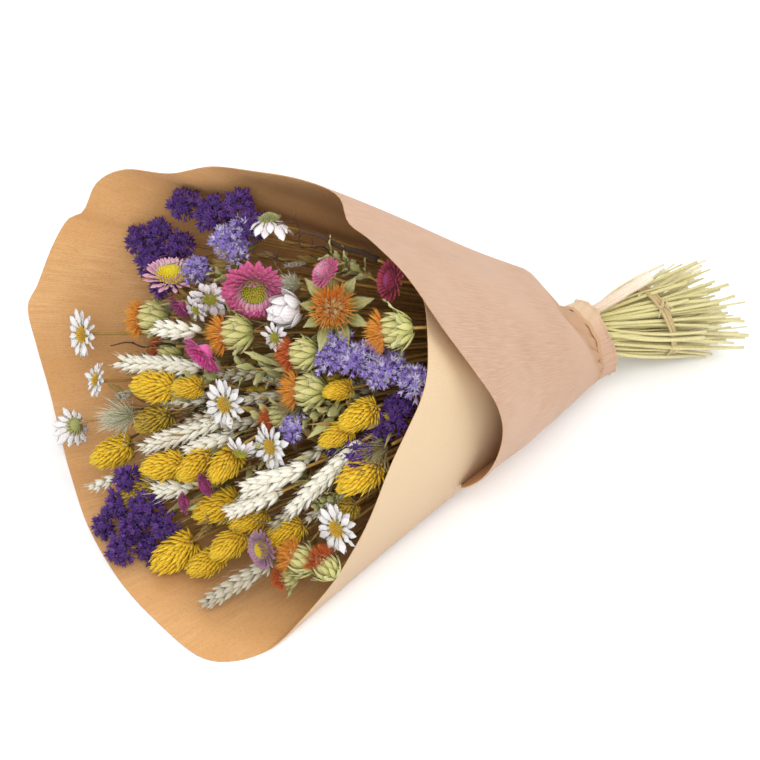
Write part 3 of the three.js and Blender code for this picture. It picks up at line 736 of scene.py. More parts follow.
WHITE = petals("white_petals", "#d9d3b8", "#f1efec", "#faf8f8", "#e6dfdc", ribs=4.0)
BLUSH_WHITE = petals("white_bracts", "#dccfc4", "#f3ecec", "#fbf7f7", "#eadada")
PINK = petals("pink_bracts", "#fadde6", "#f27fae", "#ea569c", "#f8b4d0", roughness=0.45, specular=0.4)
ROSE = petals("rose_bracts", "#fbe6ec", "#f7aec8", "#ef7cab", "#fbd5e0", roughness=0.45)
PALE_PINK = petals("pale_pink_bracts", "#fbf1ee", "#f9cfde", "#f4a2c4", "#fbe3ea", roughness=0.5)
FUCHSIA = petals("fuchsia_bracts", "#f0a0c4", "#e85fa8", "#dc489a", "#f092be", roughness=0.5)
MAROON = petals("maroon_bracts", "#8a2852", "#b0407a", "#c05494", "#762048", roughness=0.5)
CRIMSON = petals("crimson_bracts", "#7e2238", "#b83a54", "#c84a64", "#943046", roughness=0.55)
MAUVE = petals("mauve_bracts", "#d8c4c0", "#c79ab0", "#b678a0", "#e0ccd0", roughness=0.5)
LEMON_DISC = graded("lemon_disc", "#d8b010", "#f6e018", "#fbf04a", "#e8c810", at=0.6, relief=0.1)
GOLD_DISC = graded("gold_disc", "#a87c10", "#eab522", "#f7d24e", "#d89a1a", at=0.6, relief=0.1)
OLIVE_DISC = graded("olive_disc", "#7c7410", "#c2bc22", "#dcd94e", "#8a7a14", at=0.6, relief=0.1)
BROWN_DISC = graded("brown_disc", "#5c3f10", "#a8841c", "#cdb436", "#7a5a14", at=0.6, relief=0.1)
CALYX = graded("calyx", "#7c8048", "#a8ab68", "#c9c890", "#868a4c", at=0.6, roughness=0.7)
BULB = graded("safflower_bracts", "#8f9044", "#cfcb7c", "#eddc9e", "#b9b45e", ribs=9.0, roughness=0.6)
LEAF = graded("sage_leaves", "#908e50", "#b9b876", "#d6d29a", "#a89c64", roughness=0.7, ribs=3.0)
SPINE_LEAF = graded("dry_leaves", "#85744a", "#b0a06c", "#cdbb88", "#947d50", at=0.6, roughness=0.8)
ORANGE = graded("orange_florets", "#e45a10", "#ff921e", "#ffc048", "#f47416", at=0.35, roughness=0.6)
RED_ORANGE = graded("red_florets", "#a62a0c", "#da5018", "#f08a2c", "#b83a14", roughness=0.6)
YELLOW = graded("canary_scales", "#a8800e", "#f0bb12", "#ffe23a", "#e2ac10", at=0.35, roughness=0.65)
OLIVE = graded("olive_scales", "#8a6e18", "#c09c26", "#dcbc3c", "#96791e", roughness=0.7)
CHAFF = graded("bleached_chaff", "#cbc19c", "#f2edda", "#fdfaf0", "#ddd5ba", at=0.3, roughness=0.55)
# Painted shade: a darker copy of the bleached chaff, for the ears that lie in shadow.
SHADED_CHAFF = graded("painted_shade_chaff", "#8f8468", "#c4bba2", "#ded8c6", "#a89c80", at=0.4, roughness=0.6)
INDIGO = graded("dark_statice", "#2a1042", "#48207a", "#6c3a9c", "#34165c", roughness=0.55)
PURPLE = graded("purple_statice", "#341450", "#5a2888", "#8450ac", "#421a68", roughness=0.55)
VIOLET = graded("violet_statice", "#7050b0", "#9878de", "#c4acf4", "#805cc6", roughness=0.55)
LILAC = graded("lilac_statice", "#9a84cc", "#c4b4ec", "#ece4f8", "#ae9adc", roughness=0.6)
STALK = graded("dry_stalks", "#c69e50", "#c49645", "#cfa350", "#9c7232", spread=0.8, ribs=6.0, roughness=0.6)
STRAW = graded("straw_stems", "#e4d69a", "#f4e5b2", "#f9eecc", "#d4cb88", spread=0.9, ribs=6.0,
               roughness=0.55)
BRUSH_LEAF = graded("brush_leaves", "#7e6634", "#a88a46", "#c8aa60", "#8a6834", roughness=0.8)
BUD_BROWN = graded("brown_buds", "#4c3820", "#80643a", "#a88a58", "#5c4424", roughness=0.8)
PALE_WOOD = graded("cut_branch", "#d9bea4", "#e6cfb8", "#f3e2d0", "#d3b79a", ribs=5.0)
DARK_TWIG = graded("twig_bark", "#2c1b0e", "#422a16", "#5c3e24", "#36220f", ribs=4.0, roughness=0.8)
RAFFIA = graded("raffia", "#c3ab78", "#d8c290", "#e6d5aa", "#b89e6a", ribs=7.0, relief=0.25, roughness=0.75)
PLUME = graded("cream_plume", "#a9a877", "#dcd9b8", "#f2efdc", "#c8c79c", roughness=0.8)
PAPER = PaperFinish()


# ------------------------------------------------------------------ heads
def disc(
    radius: float, height: float, florets: int, finish: Finish, core: Finish, raised: float = 0.16,
) -> Shape:
    """A domed disc covered by small florets in a sunflower spiral.

    Args:
        radius: of the disc.
        height: of the dome.
        florets: how many there are.
        finish: of the florets.
        core: of the dome beneath them.
        raised: length of a floret as a share of the radius.

    Returns:
        The disc about Z, its rim at the origin's height.
    """
    index = np.arange(florets) + 0.5
    share = np.sqrt(index / florets)
    dome = height * (1.0 - share ** 2)
    slope = np.arctan2(radius, 2.0 * height * share + 1e-6)
    bud = blade(radius * raised * 2.0, radius * 2.6 / np.sqrt(florets), rows=3, ring=4, belly=0.45,
                blunt=0.5, cup=0.0, thick=radius * 2.2 / np.sqrt(florets))
    places = around(index * GOLDEN_ANGLE, slope, radius * share, dome - radius * 0.06)
    body = revolved([(0.01, -height * 0.4), (radius * 0.9, -height * 0.2), (radius, 0.0),
                     (radius * 0.8, height * 0.36), (radius * 0.5, height * 0.75), (0.01, height)], 18)
    return joined([scatter(bud, places).painted(finish), body.painted(core)])


def hugging(polar: np.ndarray, radius: float, half: float) -> np.ndarray:
    """The pitch of a blade that lies along an egg's side with its tip towards the top.

    The egg's side is (radius * sin, half * cos) of the polar angle, so the way up along it
    is (-radius * cos, half * sin).

    Args:
        polar: angle from the top.
        radius: of the egg.
        half: half its height.

    Returns:
        Pitches in radians.
    """
    return np.arctan2(half * np.sin(polar), -radius * np.cos(polar))


@dataclass(frozen=True)
class Strawflower:
    """A strawflower: stiff bracts in a spiral round a large domed disc."""

    bracts: Finish = PINK
    inner: Finish = ROSE
    centre: Finish = OLIVE_DISC
    eye: Finish = BROWN_DISC
    count: int = 110
    disc_share: float = 0.38

    depth_share = 0.4

    def shape(self, size: float) -> Shape:
        """The head of a given radius, facing +Z.

        Args:
            size: radius to the tips of the outer bracts.

        Returns:
            The head's shape.
        """
        rng = np.random.default_rng(int(size * 10) + self.count)
        share = (np.arange(self.count) + 0.5) / self.count
        pitch = np.radians(64.0 * (1.0 - share) ** 1.3 + 2.0 + rng.normal(0, 3.5, self.count))
        length = 0.32 + 0.32 * share + rng.normal(0, 0.014, self.count)
        bract = blade(size, size * 0.36, rows=5, ring=6, belly=0.64, blunt=0.42, cup=0.14, curl=0.1,
                      thick=0.35)
        root = size * (self.disc_share - 0.06 + 0.05 * share)
        places = around(np.arange(self.count) * GOLDEN_ANGLE, pitch, root, size * (0.1 - 0.22 * share),
                        length, rng.normal(0, 0.12, self.count))
        outer = share > 0.26
        lifted = facing(np.array([0.0, 0.0, 1.0]), np.array([0.0, 0.0, size * 0.15]))
        parts = [
            scatter(bract, places[outer]).painted(self.bracts),
            scatter(bract, places[~outer]).painted(self.inner),
            disc(size * self.disc_share, size * 0.2, 130, self.centre, self.centre),
            disc(size * self.disc_share * 0.5, size * 0.09, 60, self.eye, self.eye).moved(lifted),
            revolved([(0.02, -size * 0.42), (size * 0.2, -size * 0.34), (size * 0.36, -size * 0.12),
                      (size * 0.36, 0.0), (0.02, size * 0.05)], 14).painted(self.bracts),
        ]
        return joined(parts)


@dataclass(frozen=True)
class Daisy:
    """A daisy with two overlapping rings of papery petals."""

    petal: Finish = WHITE
    centre: Finish = GOLD_DISC
    count: int = 24
    pitch: float = 4.0
    width: float = 0.42
    curl: float = -0.08

    depth_share = 0.4

    def shape(self, size: float) -> Shape:
        """The head of a given radius, facing +Z.

        Args:
            size: radius to the tips of the petals.

        Returns:
            The head's shape.
        """
        rng = np.random.default_rng(int(size * 10) + self.count)
        index = np.arange(self.count)
        layer = index % 2
        pitch = np.radians(self.pitch + 12.0 * layer + rng.normal(0, 4.0, self.count))
        angle = index * 2.0 * np.pi / self.count + rng.normal(0, 0.06, self.count)
        petal = blade(size, size * self.width, rows=7, ring=6, belly=0.64, blunt=0.52, root=0.35, cup=0.08,
                      curl=self.curl, thick=0.35, wave=0.07)
        length = 0.8 - 0.1 * layer + rng.normal(0, 0.075, self.count)
        places = around(angle, pitch, size * 0.2, size * 0.03 * layer, length,
                        rng.normal(0, 0.22, self.count))
        bract = blade(size * 0.42, size * 0.14, rows=4, ring=4, cup=0.1, curl=0.2)
        green = around(np.arange(14) * 2 * np.pi / 14, np.radians(24.0), size * 0.1, -size * 0.14)
        parts = [
            scatter(petal, places).painted(self.petal),
            disc(size * 0.29, size * 0.17, 90, self.centre, CALYX, 0.2),
            scatter(bract, green).painted(CALYX),
            revolved([(0.02, -size * 0.42), (size * 0.1, -size * 0.34), (size * 0.26, -size * 0.1),
                      (size * 0.3, 0.0), (0.02, 0.02)], 12).painted(CALYX),
        ]
        return joined(parts)


@dataclass(frozen=True)
class Globe:
    """A strawflower still closed into a ball of cupped bracts."""

    bracts: Finish = BLUSH_WHITE
    count: int = 18

    depth_share = 0.8

    def shape(self, size: float) -> Shape:
        """The head of a given radius, facing +Z.

        Args:
            size: radius of the ball.

        Returns:
            The head's shape.
        """
        share = (np.arange(self.count) + 0.5) / self.count
        polar = np.pi * (0.24 + 0.62 * share)
        bract = blade(size * 1.6, size * 1.5, rows=10, ring=12, belly=0.5, blunt=0.35, cup=0.24,
                      curl=0.46, thick=0.35)
        places = around(np.arange(self.count) * GOLDEN_ANGLE, hugging(polar, size, size) - 0.16,
                        size * 0.9 * np.sin(polar), size * 0.95 * np.cos(polar) - size * 0.1, 0.86)
        return joined([scatter(bract, places).painted(self.bracts),
                       ovoid(size * 0.8, size * 1.7).painted(self.bracts)])


@dataclass(frozen=True)
class Safflower:
    """A safflower: a brush of florets out of a bulb of broad overlapping bracts."""

    florets: Finish = ORANGE
    leaves: int = 6
    leaf: Finish = LEAF
    leaf_length: float = 1.1
    count: int = 240

    depth_share = 0.9

    def bulb(self, size: float) -> Shape:
        """The bulb: bracts in a spiral that lie along an egg, tips towards the brush.

        Args:
            size: radius of the bulb.

        Returns:
            The bulb's shape.
        """
        scales = 34
        polar = np.pi * (0.4 + 0.52 * (np.arange(scales) + 0.5) / scales)
        scale = blade(size * 1.6, size * 0.6, rows=8, ring=8, belly=0.44, blunt=0.1, cup=0.16,
                      curl=0.46, fold=0.05, thick=0.5)
        places = around(np.arange(scales) * GOLDEN_ANGLE, hugging(polar, size, size * 1.05) - 0.02,
                        size * 0.9 * np.sin(polar), size * 0.98 * np.cos(polar) - size * 0.05, 0.82)
        return joined([scatter(scale, places).painted(BULB), ovoid(size * 0.86, size * 1.9).painted(BULB)])

    def brush(self, size: float) -> Shape:
        """The brush: fine florets that fan from the bulb's top.

        Args:
            size: radius of the bulb.

        Returns:
            The brush's shape.
        """
        rng = np.random.default_rng(int(size * 10) + self.leaves)
        spread = np.sqrt((np.arange(self.count) + 0.5) / self.count)
        lean = 1.35 * spread + rng.normal(0, 0.14, self.count)
        floret = blade(size * 1.35, size * 0.11, rows=3, ring=4, belly=0.8, root=0.7, cup=0.0, curl=0.16,
                       thick=size * 0.06)
        places = around(np.arange(self.count) * GOLDEN_ANGLE, np.pi / 2 - lean, size * 0.5 * spread,
                        size * 0.74, (1.0 - 0.24 * spread) * rng.uniform(0.72, 1.08, self.count),
                        rng.uniform(-1, 1, self.count))
        return scatter(floret, places).painted(self.florets)

    def shape(self, size: float) -> Shape:
        """The head, its brush towards +Z.

        Args:
            size: radius of the bulb.

        Returns:
            The head's shape.
        """
        rng = np.random.default_rng(int(size * 10) + self.leaves + 1)
        leaf = blade(size * 1.9 * self.leaf_length, size * 0.8, rows=10, ring=6, belly=0.42, cup=0.06,
                     curl=0.26, fold=0.12, thick=0.5, wave=0.1)
        turn = np.arange(self.leaves) * 2 * np.pi / self.leaves + 0.4
        skirt = around(turn, np.radians(20.0) + 0.1 * np.sin(3 * turn), size * 0.5, -size * 0.55,
                       rng.uniform(0.75, 1.05, self.leaves))
        collar = around(turn + 0.5, np.radians(52.0), size * 0.75, -size * 0.45, 0.55)
        leaves = [scatter(leaf, skirt).painted(self.leaf), scatter(leaf, collar, 0.3).painted(self.leaf)]
        return joined([self.bulb(size), self.brush(size), *leaves])


@dataclass(frozen=True)
class CanaryGrass:
    """An oval head of canary grass, covered by fine overlapping scales."""

    scales: Finish = YELLOW
    width: float = 0.58
    fullness: float = 1.0

    depth_share = 0.45

    def shape(self, size: float) -> Shape:
        """The head along Z.

        Args:
            size: length of the head.

        Returns:
            The head's shape.
        """
        rng = np.random.default_rng(int(size * 10))
        count = int((150 + 3.0 * size) * self.fullness)
        share = (np.arange(count) + 0.5) / count
        polar = np.pi * (0.06 + 0.88 * share)
        radius, half = 0.5 * size * self.width, 0.46 * size
        scale = blade(size * 0.24, size * 0.09, rows=3, ring=4, belly=0.42, cup=0.0, curl=0.06,
                      thick=size * 0.04)
        pitch = hugging(polar, radius, half) - 0.36 + rng.normal(0, 0.13, count)
        places = around(np.arange(count) * GOLDEN_ANGLE, pitch, radius * 0.84 * np.sin(polar) ** 0.8,
                        half * 0.92 * np.cos(polar) - size * 0.06, rng.uniform(0.75, 1.15, count),
                        rng.normal(0, 0.3, count))
        return joined([scatter(scale, places).painted(self.scales),
                       ovoid(radius * 0.86, size * 0.88, rows=10).painted(self.scales)])


@dataclass(frozen=True)
class WheatEar:
    """A wheat ear: spikelets by turns on two sides of its stem, each with four plump glumes."""

    chaff: Finish = CHAFF
    width: float = 14.0
    awn: float = 4.5

    depth_share = 0.5

    def shape(self, size: float) -> Shape:
        """The ear along Z.

        Args:
            size: length of the ear.

        Returns:
            The ear's shape.
        """
        rng = np.random.default_rng(int(size * 7))
        count = max(6, int(size / 4.0))
        share = np.arange(count) / (count - 1)
        height = size * (share * 0.84 - 0.5)
        taper = np.sin(np.pi * np.clip(0.22 + 0.62 * share, 0, 1)) ** 0.6
        side = np.where(np.arange(count) % 2 == 0, 0.0, np.pi)
        glume = blade(self.width * 0.8, self.width * 0.36, rows=5, ring=6, belly=0.36, root=0.4, cup=0.0,
                      curl=0.1, thick=self.width * 0.22)
        awn = blade(self.awn, 0.45, rows=3, ring=4, belly=0.3, root=0.9, curl=0.1, thick=0.35)
        stem = [(0.6, -size * 0.52), (0.9, -size * 0.3), (0.7, size * 0.3), (0.05, size * 0.42)]
        parts = [revolved(stem, 8).painted(self.chaff)]
        for turn, pitch in ((-0.98, 66.0), (-0.34, 58.0), (0.34, 58.0), (0.98, 66.0)):
            angle = side + turn + rng.normal(0, 0.08, count)
            lean = np.radians(pitch + rng.normal(0, 4.0, count))
            places = around(angle, lean, self.width * 0.1, height, taper, rng.normal(0, 0.2, count))
            parts.append(scatter(glume, places, turn).painted(self.chaff))
            reach = self.width * 0.72 * taper
            tips = around(angle, lean + 0.1, self.width * 0.1 + reach * np.cos(lean),
                          height + reach * np.sin(lean), rng.uniform(0.4, 1.1, count))
            parts.append(scatter(awn, tips, turn).painted(self.chaff))
        return joined(parts)


@dataclass(frozen=True)
class Statice:
    """A tuft of statice: arms that each end in a spray of small papery funnels."""

    calyx: Finish = INDIGO
    other: Finish = PURPLE
    arms: int = 10
    cups: int = 8

    depth_share = 0.5

    def shape(self, size: float) -> Shape:
        """The tuft of a given radius, facing +Z.

        Args:
            size: how far the tuft reaches.

        Returns:
            The tuft's shape.
        """
        rng = np.random.default_rng(int(size * 10) + self.arms)
        number = np.arange(self.arms * self.cups)
        arm, cup = number // self.cups, number % self.cups
        arm_polar = np.arccos(1.0 - 1.25 * (arm + 0.5) / self.arms)
        arm_turn = arm * GOLDEN_ANGLE
        reach = size * (0.34 + 0.46 * cup / self.cups) * rng.uniform(0.85, 1.15, len(number))
        polar = arm_polar + 0.36 * np.cos(cup * 2.4) + rng.normal(0, 0.1, len(number))
        turn = arm_turn + 0.42 * np.sin(cup * 2.4) / np.maximum(np.sin(arm_polar), 0.4)
        opening = funnel(size * 0.19, size * 0.44, lobes=5, sides=10)
        opening.points = opening.points[:, [2, 0, 1]]
        places = around(turn, np.pi / 2 - polar - 0.5 * np.sin(cup * 2.4 + 1.0), reach * np.sin(polar),
                        reach * np.cos(polar) * 0.9, rng.uniform(0.75, 1.25, len(number)),
                        rng.uniform(-1, 1, len(number)))
        some = rng.random(len(number)) < 0.35
        twig = blade(size * 0.75, size * 0.09, rows=3, ring=4, thick=size * 0.07)
        first = cup == 0
        feet = around(arm_turn[first], (np.pi / 2 - arm_polar)[first], 0.0, 0.0)
        return joined([scatter(opening, places[~some]).painted(self.calyx),
                       scatter(opening, places[some], 0.5).painted(self.other),
                       scatter(twig, feet).painted(CALYX),
                       ovoid(size * 0.34, size * 0.6).painted(self.calyx)])


@dataclass(frozen=True)
class Plume:
    """A feathery plume of fine rays."""

    rays: Finish = PLUME

    depth_share = 0.4

    def shape(self, size: float) -> Shape:
        """The plume of a given reach, towards +Z.

        Args:
            size: how far the rays reach.

        Returns:
            The plume's shape.
        """
        rng = np.random.default_rng(int(size * 10))
        count = 190
        lean = np.abs(rng.normal(0, 0.62, count))
        ray = blade(size * 1.15, 0.75, rows=3, ring=4, belly=0.4, root=0.5, cup=0.0, curl=0.16, thick=0.4)
        turn = rng.uniform(0, 2 * np.pi, count)
        height = -size * 0.25 + size * 0.4 * rng.random(count)
        places = around(turn, np.pi / 2 - lean, size * 0.06, height, rng.uniform(0.5, 1.1, count),
                        rng.uniform(-2, 2, count))
        return scatter(ray, places).painted(self.rays)


@dataclass(frozen=True)
class Sprig:
    """A leafy sprig along Z."""

    leaf: Finish = LEAF
    width: float = 8.0
    count: int = 16

    depth_share = 0.5

    def shape(self, size: float) -> Shape:
        """The sprig of a given length.

        Args:
            size: from end to end.

        Returns:
            The sprig's shape.
        """
        rng = np.random.default_rng(int(size * 10))
        share = (np.arange(self.count) + 0.5) / self.count
        leaf = blade(size * 0.42, self.width, rows=8, ring=6, belly=0.45, cup=0.05, curl=-0.1, fold=0.14,
                     wave=0.1, thick=0.45)
        pitch = np.radians(rng.uniform(22, 58, self.count))
        places = around(np.arange(self.count) * GOLDEN_ANGLE, pitch, 0.6, size * (share * 0.8 - 0.45),
                        rng.uniform(0.6, 1.05, self.count),
                        rng.normal(0, 0.4, self.count))
        line = np.array([[[0, 0, -size / 2], [0.6, 0, 0], [0, 0.4, size * 0.42]]])
        stalk = tubes(line, np.array([[0.9, 0.7, 0.4]])).painted(STALK)
        return joined([scatter(leaf, places).painted(self.leaf), stalk])


@dataclass(frozen=True)
class Twig:
    """A bare twig along Z with a few kinks and side shoots."""

    bark: Finish = DARK_TWIG
    radius: float = 1.2
    bend: float = 6.0
    shoots: int = 5

    depth_share = 0.5

    def shape(self, size: float) -> Shape:
        """The twig of a given length.

        It sways by the sine of its length one way and the cosine the other.

        Args:
            size: from end to end.

        Returns:
            The twig's shape.
        """
        kinks = 5
        step = np.linspace(0, kinks, 26)
        x = self.bend * np.sin(step * 2.1)
        y = self.bend * 0.5 * np.cos(step * 1.7) - self.bend * 0.5
        z = size * step / kinks - size / 2
        main = np.stack([x, y, z], axis=-1)[None]
        parts = [tubes(main, self.radius * np.linspace(1.0, 0.55, 26)[None], 8).painted(self.bark)]
        if self.shoots:
            index = np.linspace(5, 22, self.shoots).astype(int)
            root = main[0, index]
            turn = np.arange(self.shoots) * GOLDEN_ANGLE
            t = np.linspace(0, 1, 8)[None, :, None]
            outward = np.stack([np.cos(turn), np.sin(turn), 0.6 + 0 * turn], axis=-1)
            sideways = np.stack([-np.sin(turn), np.cos(turn), 0 * turn], axis=-1)
            reach = outward[:, None, :] * self.bend * 1.6
            curl = sideways[:, None, :] * self.bend * 0.7
            shoots = root[:, None, :] + reach * t + curl * np.sin(t * 3.0)
            radius = self.radius * 0.45 * np.linspace(1, 0.3, 8)[None]
            parts.append(tubes(shoots, radius, 5).painted(self.bark))
        return joined(parts)


# ------------------------------------------------------------------ the arrangement
@dataclass(frozen=True)
class Eye:
    """The view that the flowers are laid out for, looking down into the mouth.

    Attributes:
        azimuth: degrees round the bouquet.
        elevation: degrees above the table.
        distance: to the centre of the view.
        centre: of the view.
        frame_width: how much of the bouquet's plane the view spans.
        frame_steps: how many steps the view is divided into, each way.
        mouth: height of the mouth's plane towards the eye, and its slopes across and up.
        dome: across, up, radius and height of the flowers' dome over that plane.
        table_clearance: from the table to the middle of the lowest heads, along the sight.
    """

    azimuth: float = -30.0
    elevation: float = 50.0
    distance: float = 1500.0
    centre: tuple[float, float, float] = (-170.0, 2.0, 88.0)
    frame_width: float = 501.6
    frame_steps: int = 760
    mouth: tuple[float, float, float] = (73.0, 0.59, -0.08)
    dome: tuple[float, float, float, float] = (-100.0, -10.0, 125.0, 14.0)
    table_clearance: float = 17.0

    def axes(self) -> tuple[np.ndarray, np.ndarray, np.ndarray]:
        """The across, up and out directions.

        Returns:
            Three unit vectors.
        """
        a, e = np.radians(self.azimuth), np.radians(self.elevation)
        across = np.array([np.cos(a), np.sin(a), 0.0])
        up = np.array([-np.sin(a) * np.sin(e), np.cos(a) * np.sin(e), np.cos(e)])
        out = np.array([np.sin(a) * np.cos(e), -np.cos(a) * np.cos(e), np.sin(e)])
        return across, up, out

    def spot(self, across: np.ndarray, up: np.ndarray, out: np.ndarray) -> np.ndarray:
        """The points seen at (across, up), brought nearer to the eye by out.

        Args:
            across: millimetres to the right of the middle of the view.
            up: millimetres above it.
            out: millimetres towards the eye.

        Returns:
            (..., 3) points.
        """
        a, u, o = self.axes()
        across, up, out = (np.asarray(value, float)[..., None] for value in (across, up, out))
        shrink = (self.distance - out) / self.distance
        return np.array(self.centre) + a * across * shrink + u * up * shrink + o * out

    def flower_top(self, across: np.ndarray, up: np.ndarray) -> np.ndarray:
        """How near to the eye the domed top of the flowers lies at (across, up).

        A plane through the mouth plus a dome that falls with the square of the distance from its
        middle, and never nearer to the table than its clearance.

        Args:
            across: millimetres to the right of the middle of the view.
            up: millimetres above it.

        Returns:
            Millimetres towards the eye.
        """
        u, o = self.axes()[1:]
        level, per_across, per_up = self.mouth
        middle_across, middle_up, radius, height = self.dome
        away = np.hypot(across - middle_across, up - middle_up) / radius
        dome = level + per_across * across + per_up * up + height * (1.0 - away * away)
        table = -(self.centre[2] + u[2] * up) / o[2]
        return np.maximum(dome, table + self.table_clearance)

    def seen(self, points: np.ndarray) -> tuple[np.ndarray, np.ndarray]:
        """Where the eye sees points, as millimetres across and up.

        Args:
            points: (N, 3) points.

        Returns:
            (N,) values across and (N,) values up.
        """
        a, u, o = self.axes()
        offset = points - np.array(self.centre)
        grow = self.distance / (self.distance - offset @ o)
        return offset @ a * grow, offset @ u * grow

    def aim(self, turn: float, lift: float) -> np.ndarray:
        """The direction at a turn in the mouth's plane, lifted out of it, in degrees.

        Args:
            turn: in the mouth's plane.
            lift: out of it.

        Returns:
            A unit vector.
        """
        across, up, out = self.axes()
        per_across, per_up = self.mouth[1:]
        normal = -per_across * across - per_up * up + out
        normal /= np.linalg.norm(normal)
        first = across + per_across * out
        first /= np.linalg.norm(first)
        second = np.cross(normal, first)
        t, r = np.radians(turn), np.radians(lift)
        return np.cos(r) * (np.cos(t) * first + np.sin(t) * second) + np.sin(r) * normal


@dataclass(frozen=True)
class Neck:
    """The tied neck, which every stem runs through."""

    centre: tuple[float, float, float] = (0.0, -2.0, 37.0)
    bundle_radius: float = 16.5
    drop: float = 0.1
    side: float = 0.1

    def at(self, x: np.ndarray) -> np.ndarray:
        """The centre of the bundle at x, which sinks and turns to the near side behind the neck.

        Args:
            x: along the bouquet.

        Returns:
            (..., 3) points.
        """
        behind = np.maximum(x, 0.0)
        y, z = self.centre[1] - self.side * behind, self.centre[2] - self.drop * behind
        return np.stack([x, y, z], axis=-1)


EYE = Eye()
NECK = Neck()
FULLNESS = 1.1
Head = Strawflower | Daisy | Globe | Safflower | CanaryGrass | WheatEar | Statice | Plume | Sprig | Twig


@dataclass(frozen=True)
class Bloom:
    """One head and where it sits: millimetres across and up, and the aim of its axis."""

    head: Head
    across: float
    up: float
    size: float
    turn: float
    lift: float


def same(head: Head, *spots: tuple[float, ...]) -> list[Bloom]:
    """Blooms of one head at several (across, up, size, turn, lift)."""
    return [Bloom(head, *spot) for spot in spots]


class Placer:
    """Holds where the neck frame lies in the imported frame."""

    shift = np.zeros(3)
    band_middle = -6.0

    @classmethod
    def learn(cls) -> None:
        """Reads the shift from the paper band's box, whose middle is 6 mm before the neck."""
        low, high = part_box("paper_band")
        middle = (np.array(low) + np.array(high)) / 2.0 / MM
        cls.shift = middle - np.array([cls.band_middle, *NECK.centre[1:]])

    @classmethod
    def metres(cls, points: np.ndarray) -> np.ndarray:
        """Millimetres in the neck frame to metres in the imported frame."""
        return (points + cls.shift) * MM


class Slot(Enum):
    """The record's material slots."""

    PAPER = "kraft_paper"
    RAFFIA = "raffia"
    STEMS = "dry_stems"
    BRANCH = "cut_branch"
    TWIG = "twig_bark"
    LEAVES = "dry_leaves"
    CANARY = "canary_scales"
    CHAFF = "wheat_chaff"
    SAFFLOWER = "safflower_heads"
    STATICE_DARK = "statice_dark"
    STATICE_VIOLET = "statice_violet"
    PLUME = "cream_plume"
    WHITE = "white_petals"
    BRACTS = "strawflower_bracts"


def add_piece(name: str, shape: Shape, replaced: str | None) -> bpy.types.Object:
    """Puts a shape into the scene as one piece on the body, pressed flat where it meets the table.

    Args:
        name: the piece's name.
        shape: the shape, in millimetres in the neck frame.
        replaced: the frame node that it stands for, if any.

    Returns:
        The new object.
    """
    mesh = bpy.data.meshes.new(name)
    count = len(shape.quads)
    mesh.vertices.add(len(shape.points))
    points = Placer.metres(shape.points)
    points[:, 2] = np.maximum(points[:, 2], 0.0)
    mesh.vertices.foreach_set("co", points.astype(np.float32).ravel())
    mesh.loops.add(count * 4)
    mesh.loops.foreach_set("vertex_index", shape.quads.astype(np.int32).ravel())
    mesh.polygons.add(count)
    mesh.polygons.foreach_set("loop_start", np.arange(count, dtype=np.int32) * 4)
    numbers = sorted(set(shape.finish.tolist()))
    order = {number: place for place, number in enumerate(numbers)}
    mesh.polygons.foreach_set("material_index", np.array([order[n] for n in shape.finish], dtype=np.int32))
    mesh.polygons.foreach_set("use_smooth", np.full(count, True))
    for key, values in (("along", shape.along), ("across", shape.across), ("chance", shape.chance)):
        mesh.attributes.new(key, "FLOAT", "POINT").data.foreach_set("value", values.astype(np.float32))
    mesh.update(calc_edges=True)
    mesh.validate()
    for number in numbers:
        mesh.materials.append(Palette.material(number))
    piece = bpy.data.objects.new(name, mesh)
    bpy.context.scene.collection.objects.link(piece)
    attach(piece, "root")
    if replaced:
        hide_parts(replaced)
    LOG.info("%s: %d faces", name, count)
    return piece


@dataclass
class Spray:
    """Heads that share one node and settle where it is, or that fill the bouquet below them.

    Attributes:
        name: the node, or the piece's own name where sink is given.
        slot: the material slot, which is not used.
        blooms: the heads.
        sink: how far below the dome the heads of a filler sit; None for a node's heads.
        feet: where the heads' stems start, and their axes.
    """

    name: str
    slot: Slot
    blooms: list[Bloom]
    sink: float | None = None
    feet: list[tuple[np.ndarray, np.ndarray]] = field(default_factory=list)

    def shape(self) -> Shape:
        """The heads at their depth.

        Each head is first laid at the dome's height. A filler then sinks by its own depth,
        and a node's heads move along the sight line until their nearest point is as near
        to the eye as the node's.

        Returns:
            The spray's shape.
        """
        out = EYE.axes()[2]
        centre = np.mean([[b.across, b.up] for b in self.blooms], axis=0)
        top = EYE.flower_top(*centre)
        shapes, feet = [], []
        for number, bloom in enumerate(self.blooms):
            axis = EYE.aim(bloom.turn, bloom.lift)
            at = EYE.spot(bloom.across, bloom.up, EYE.flower_top(bloom.across, bloom.up))
            size = bloom.size * FULLNESS
            shapes.append(bloom.head.shape(size).moved(facing(axis, at, number * 1.3)))
            feet.append((at - axis * bloom.head.depth_share * size, axis))
        whole = joined(shapes)
        if self.sink is None:
            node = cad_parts[self.name].data
            corners = np.empty(len(node.vertices) * 3)
            node.vertices.foreach_get("co", corners)
            nearest = (corners.reshape(-1, 3) / MM - Placer.shift) @ out
            step = np.max(nearest) - np.max(whole.points @ out)
        else:
            step = -self.sink
        move = EYE.spot(*centre, top + step) - EYE.spot(*centre, top)
        self.feet = [(foot + move, axis) for foot, axis in feet]
        matrix = np.eye(4)
        matrix[:3, 3] = move
        return whole.moved(matrix)

    def build(self) -> None:
        """Adds the spray to the scene."""
        add_piece(self.name + "_blooms", self.shape(), self.name if self.sink is None else None)


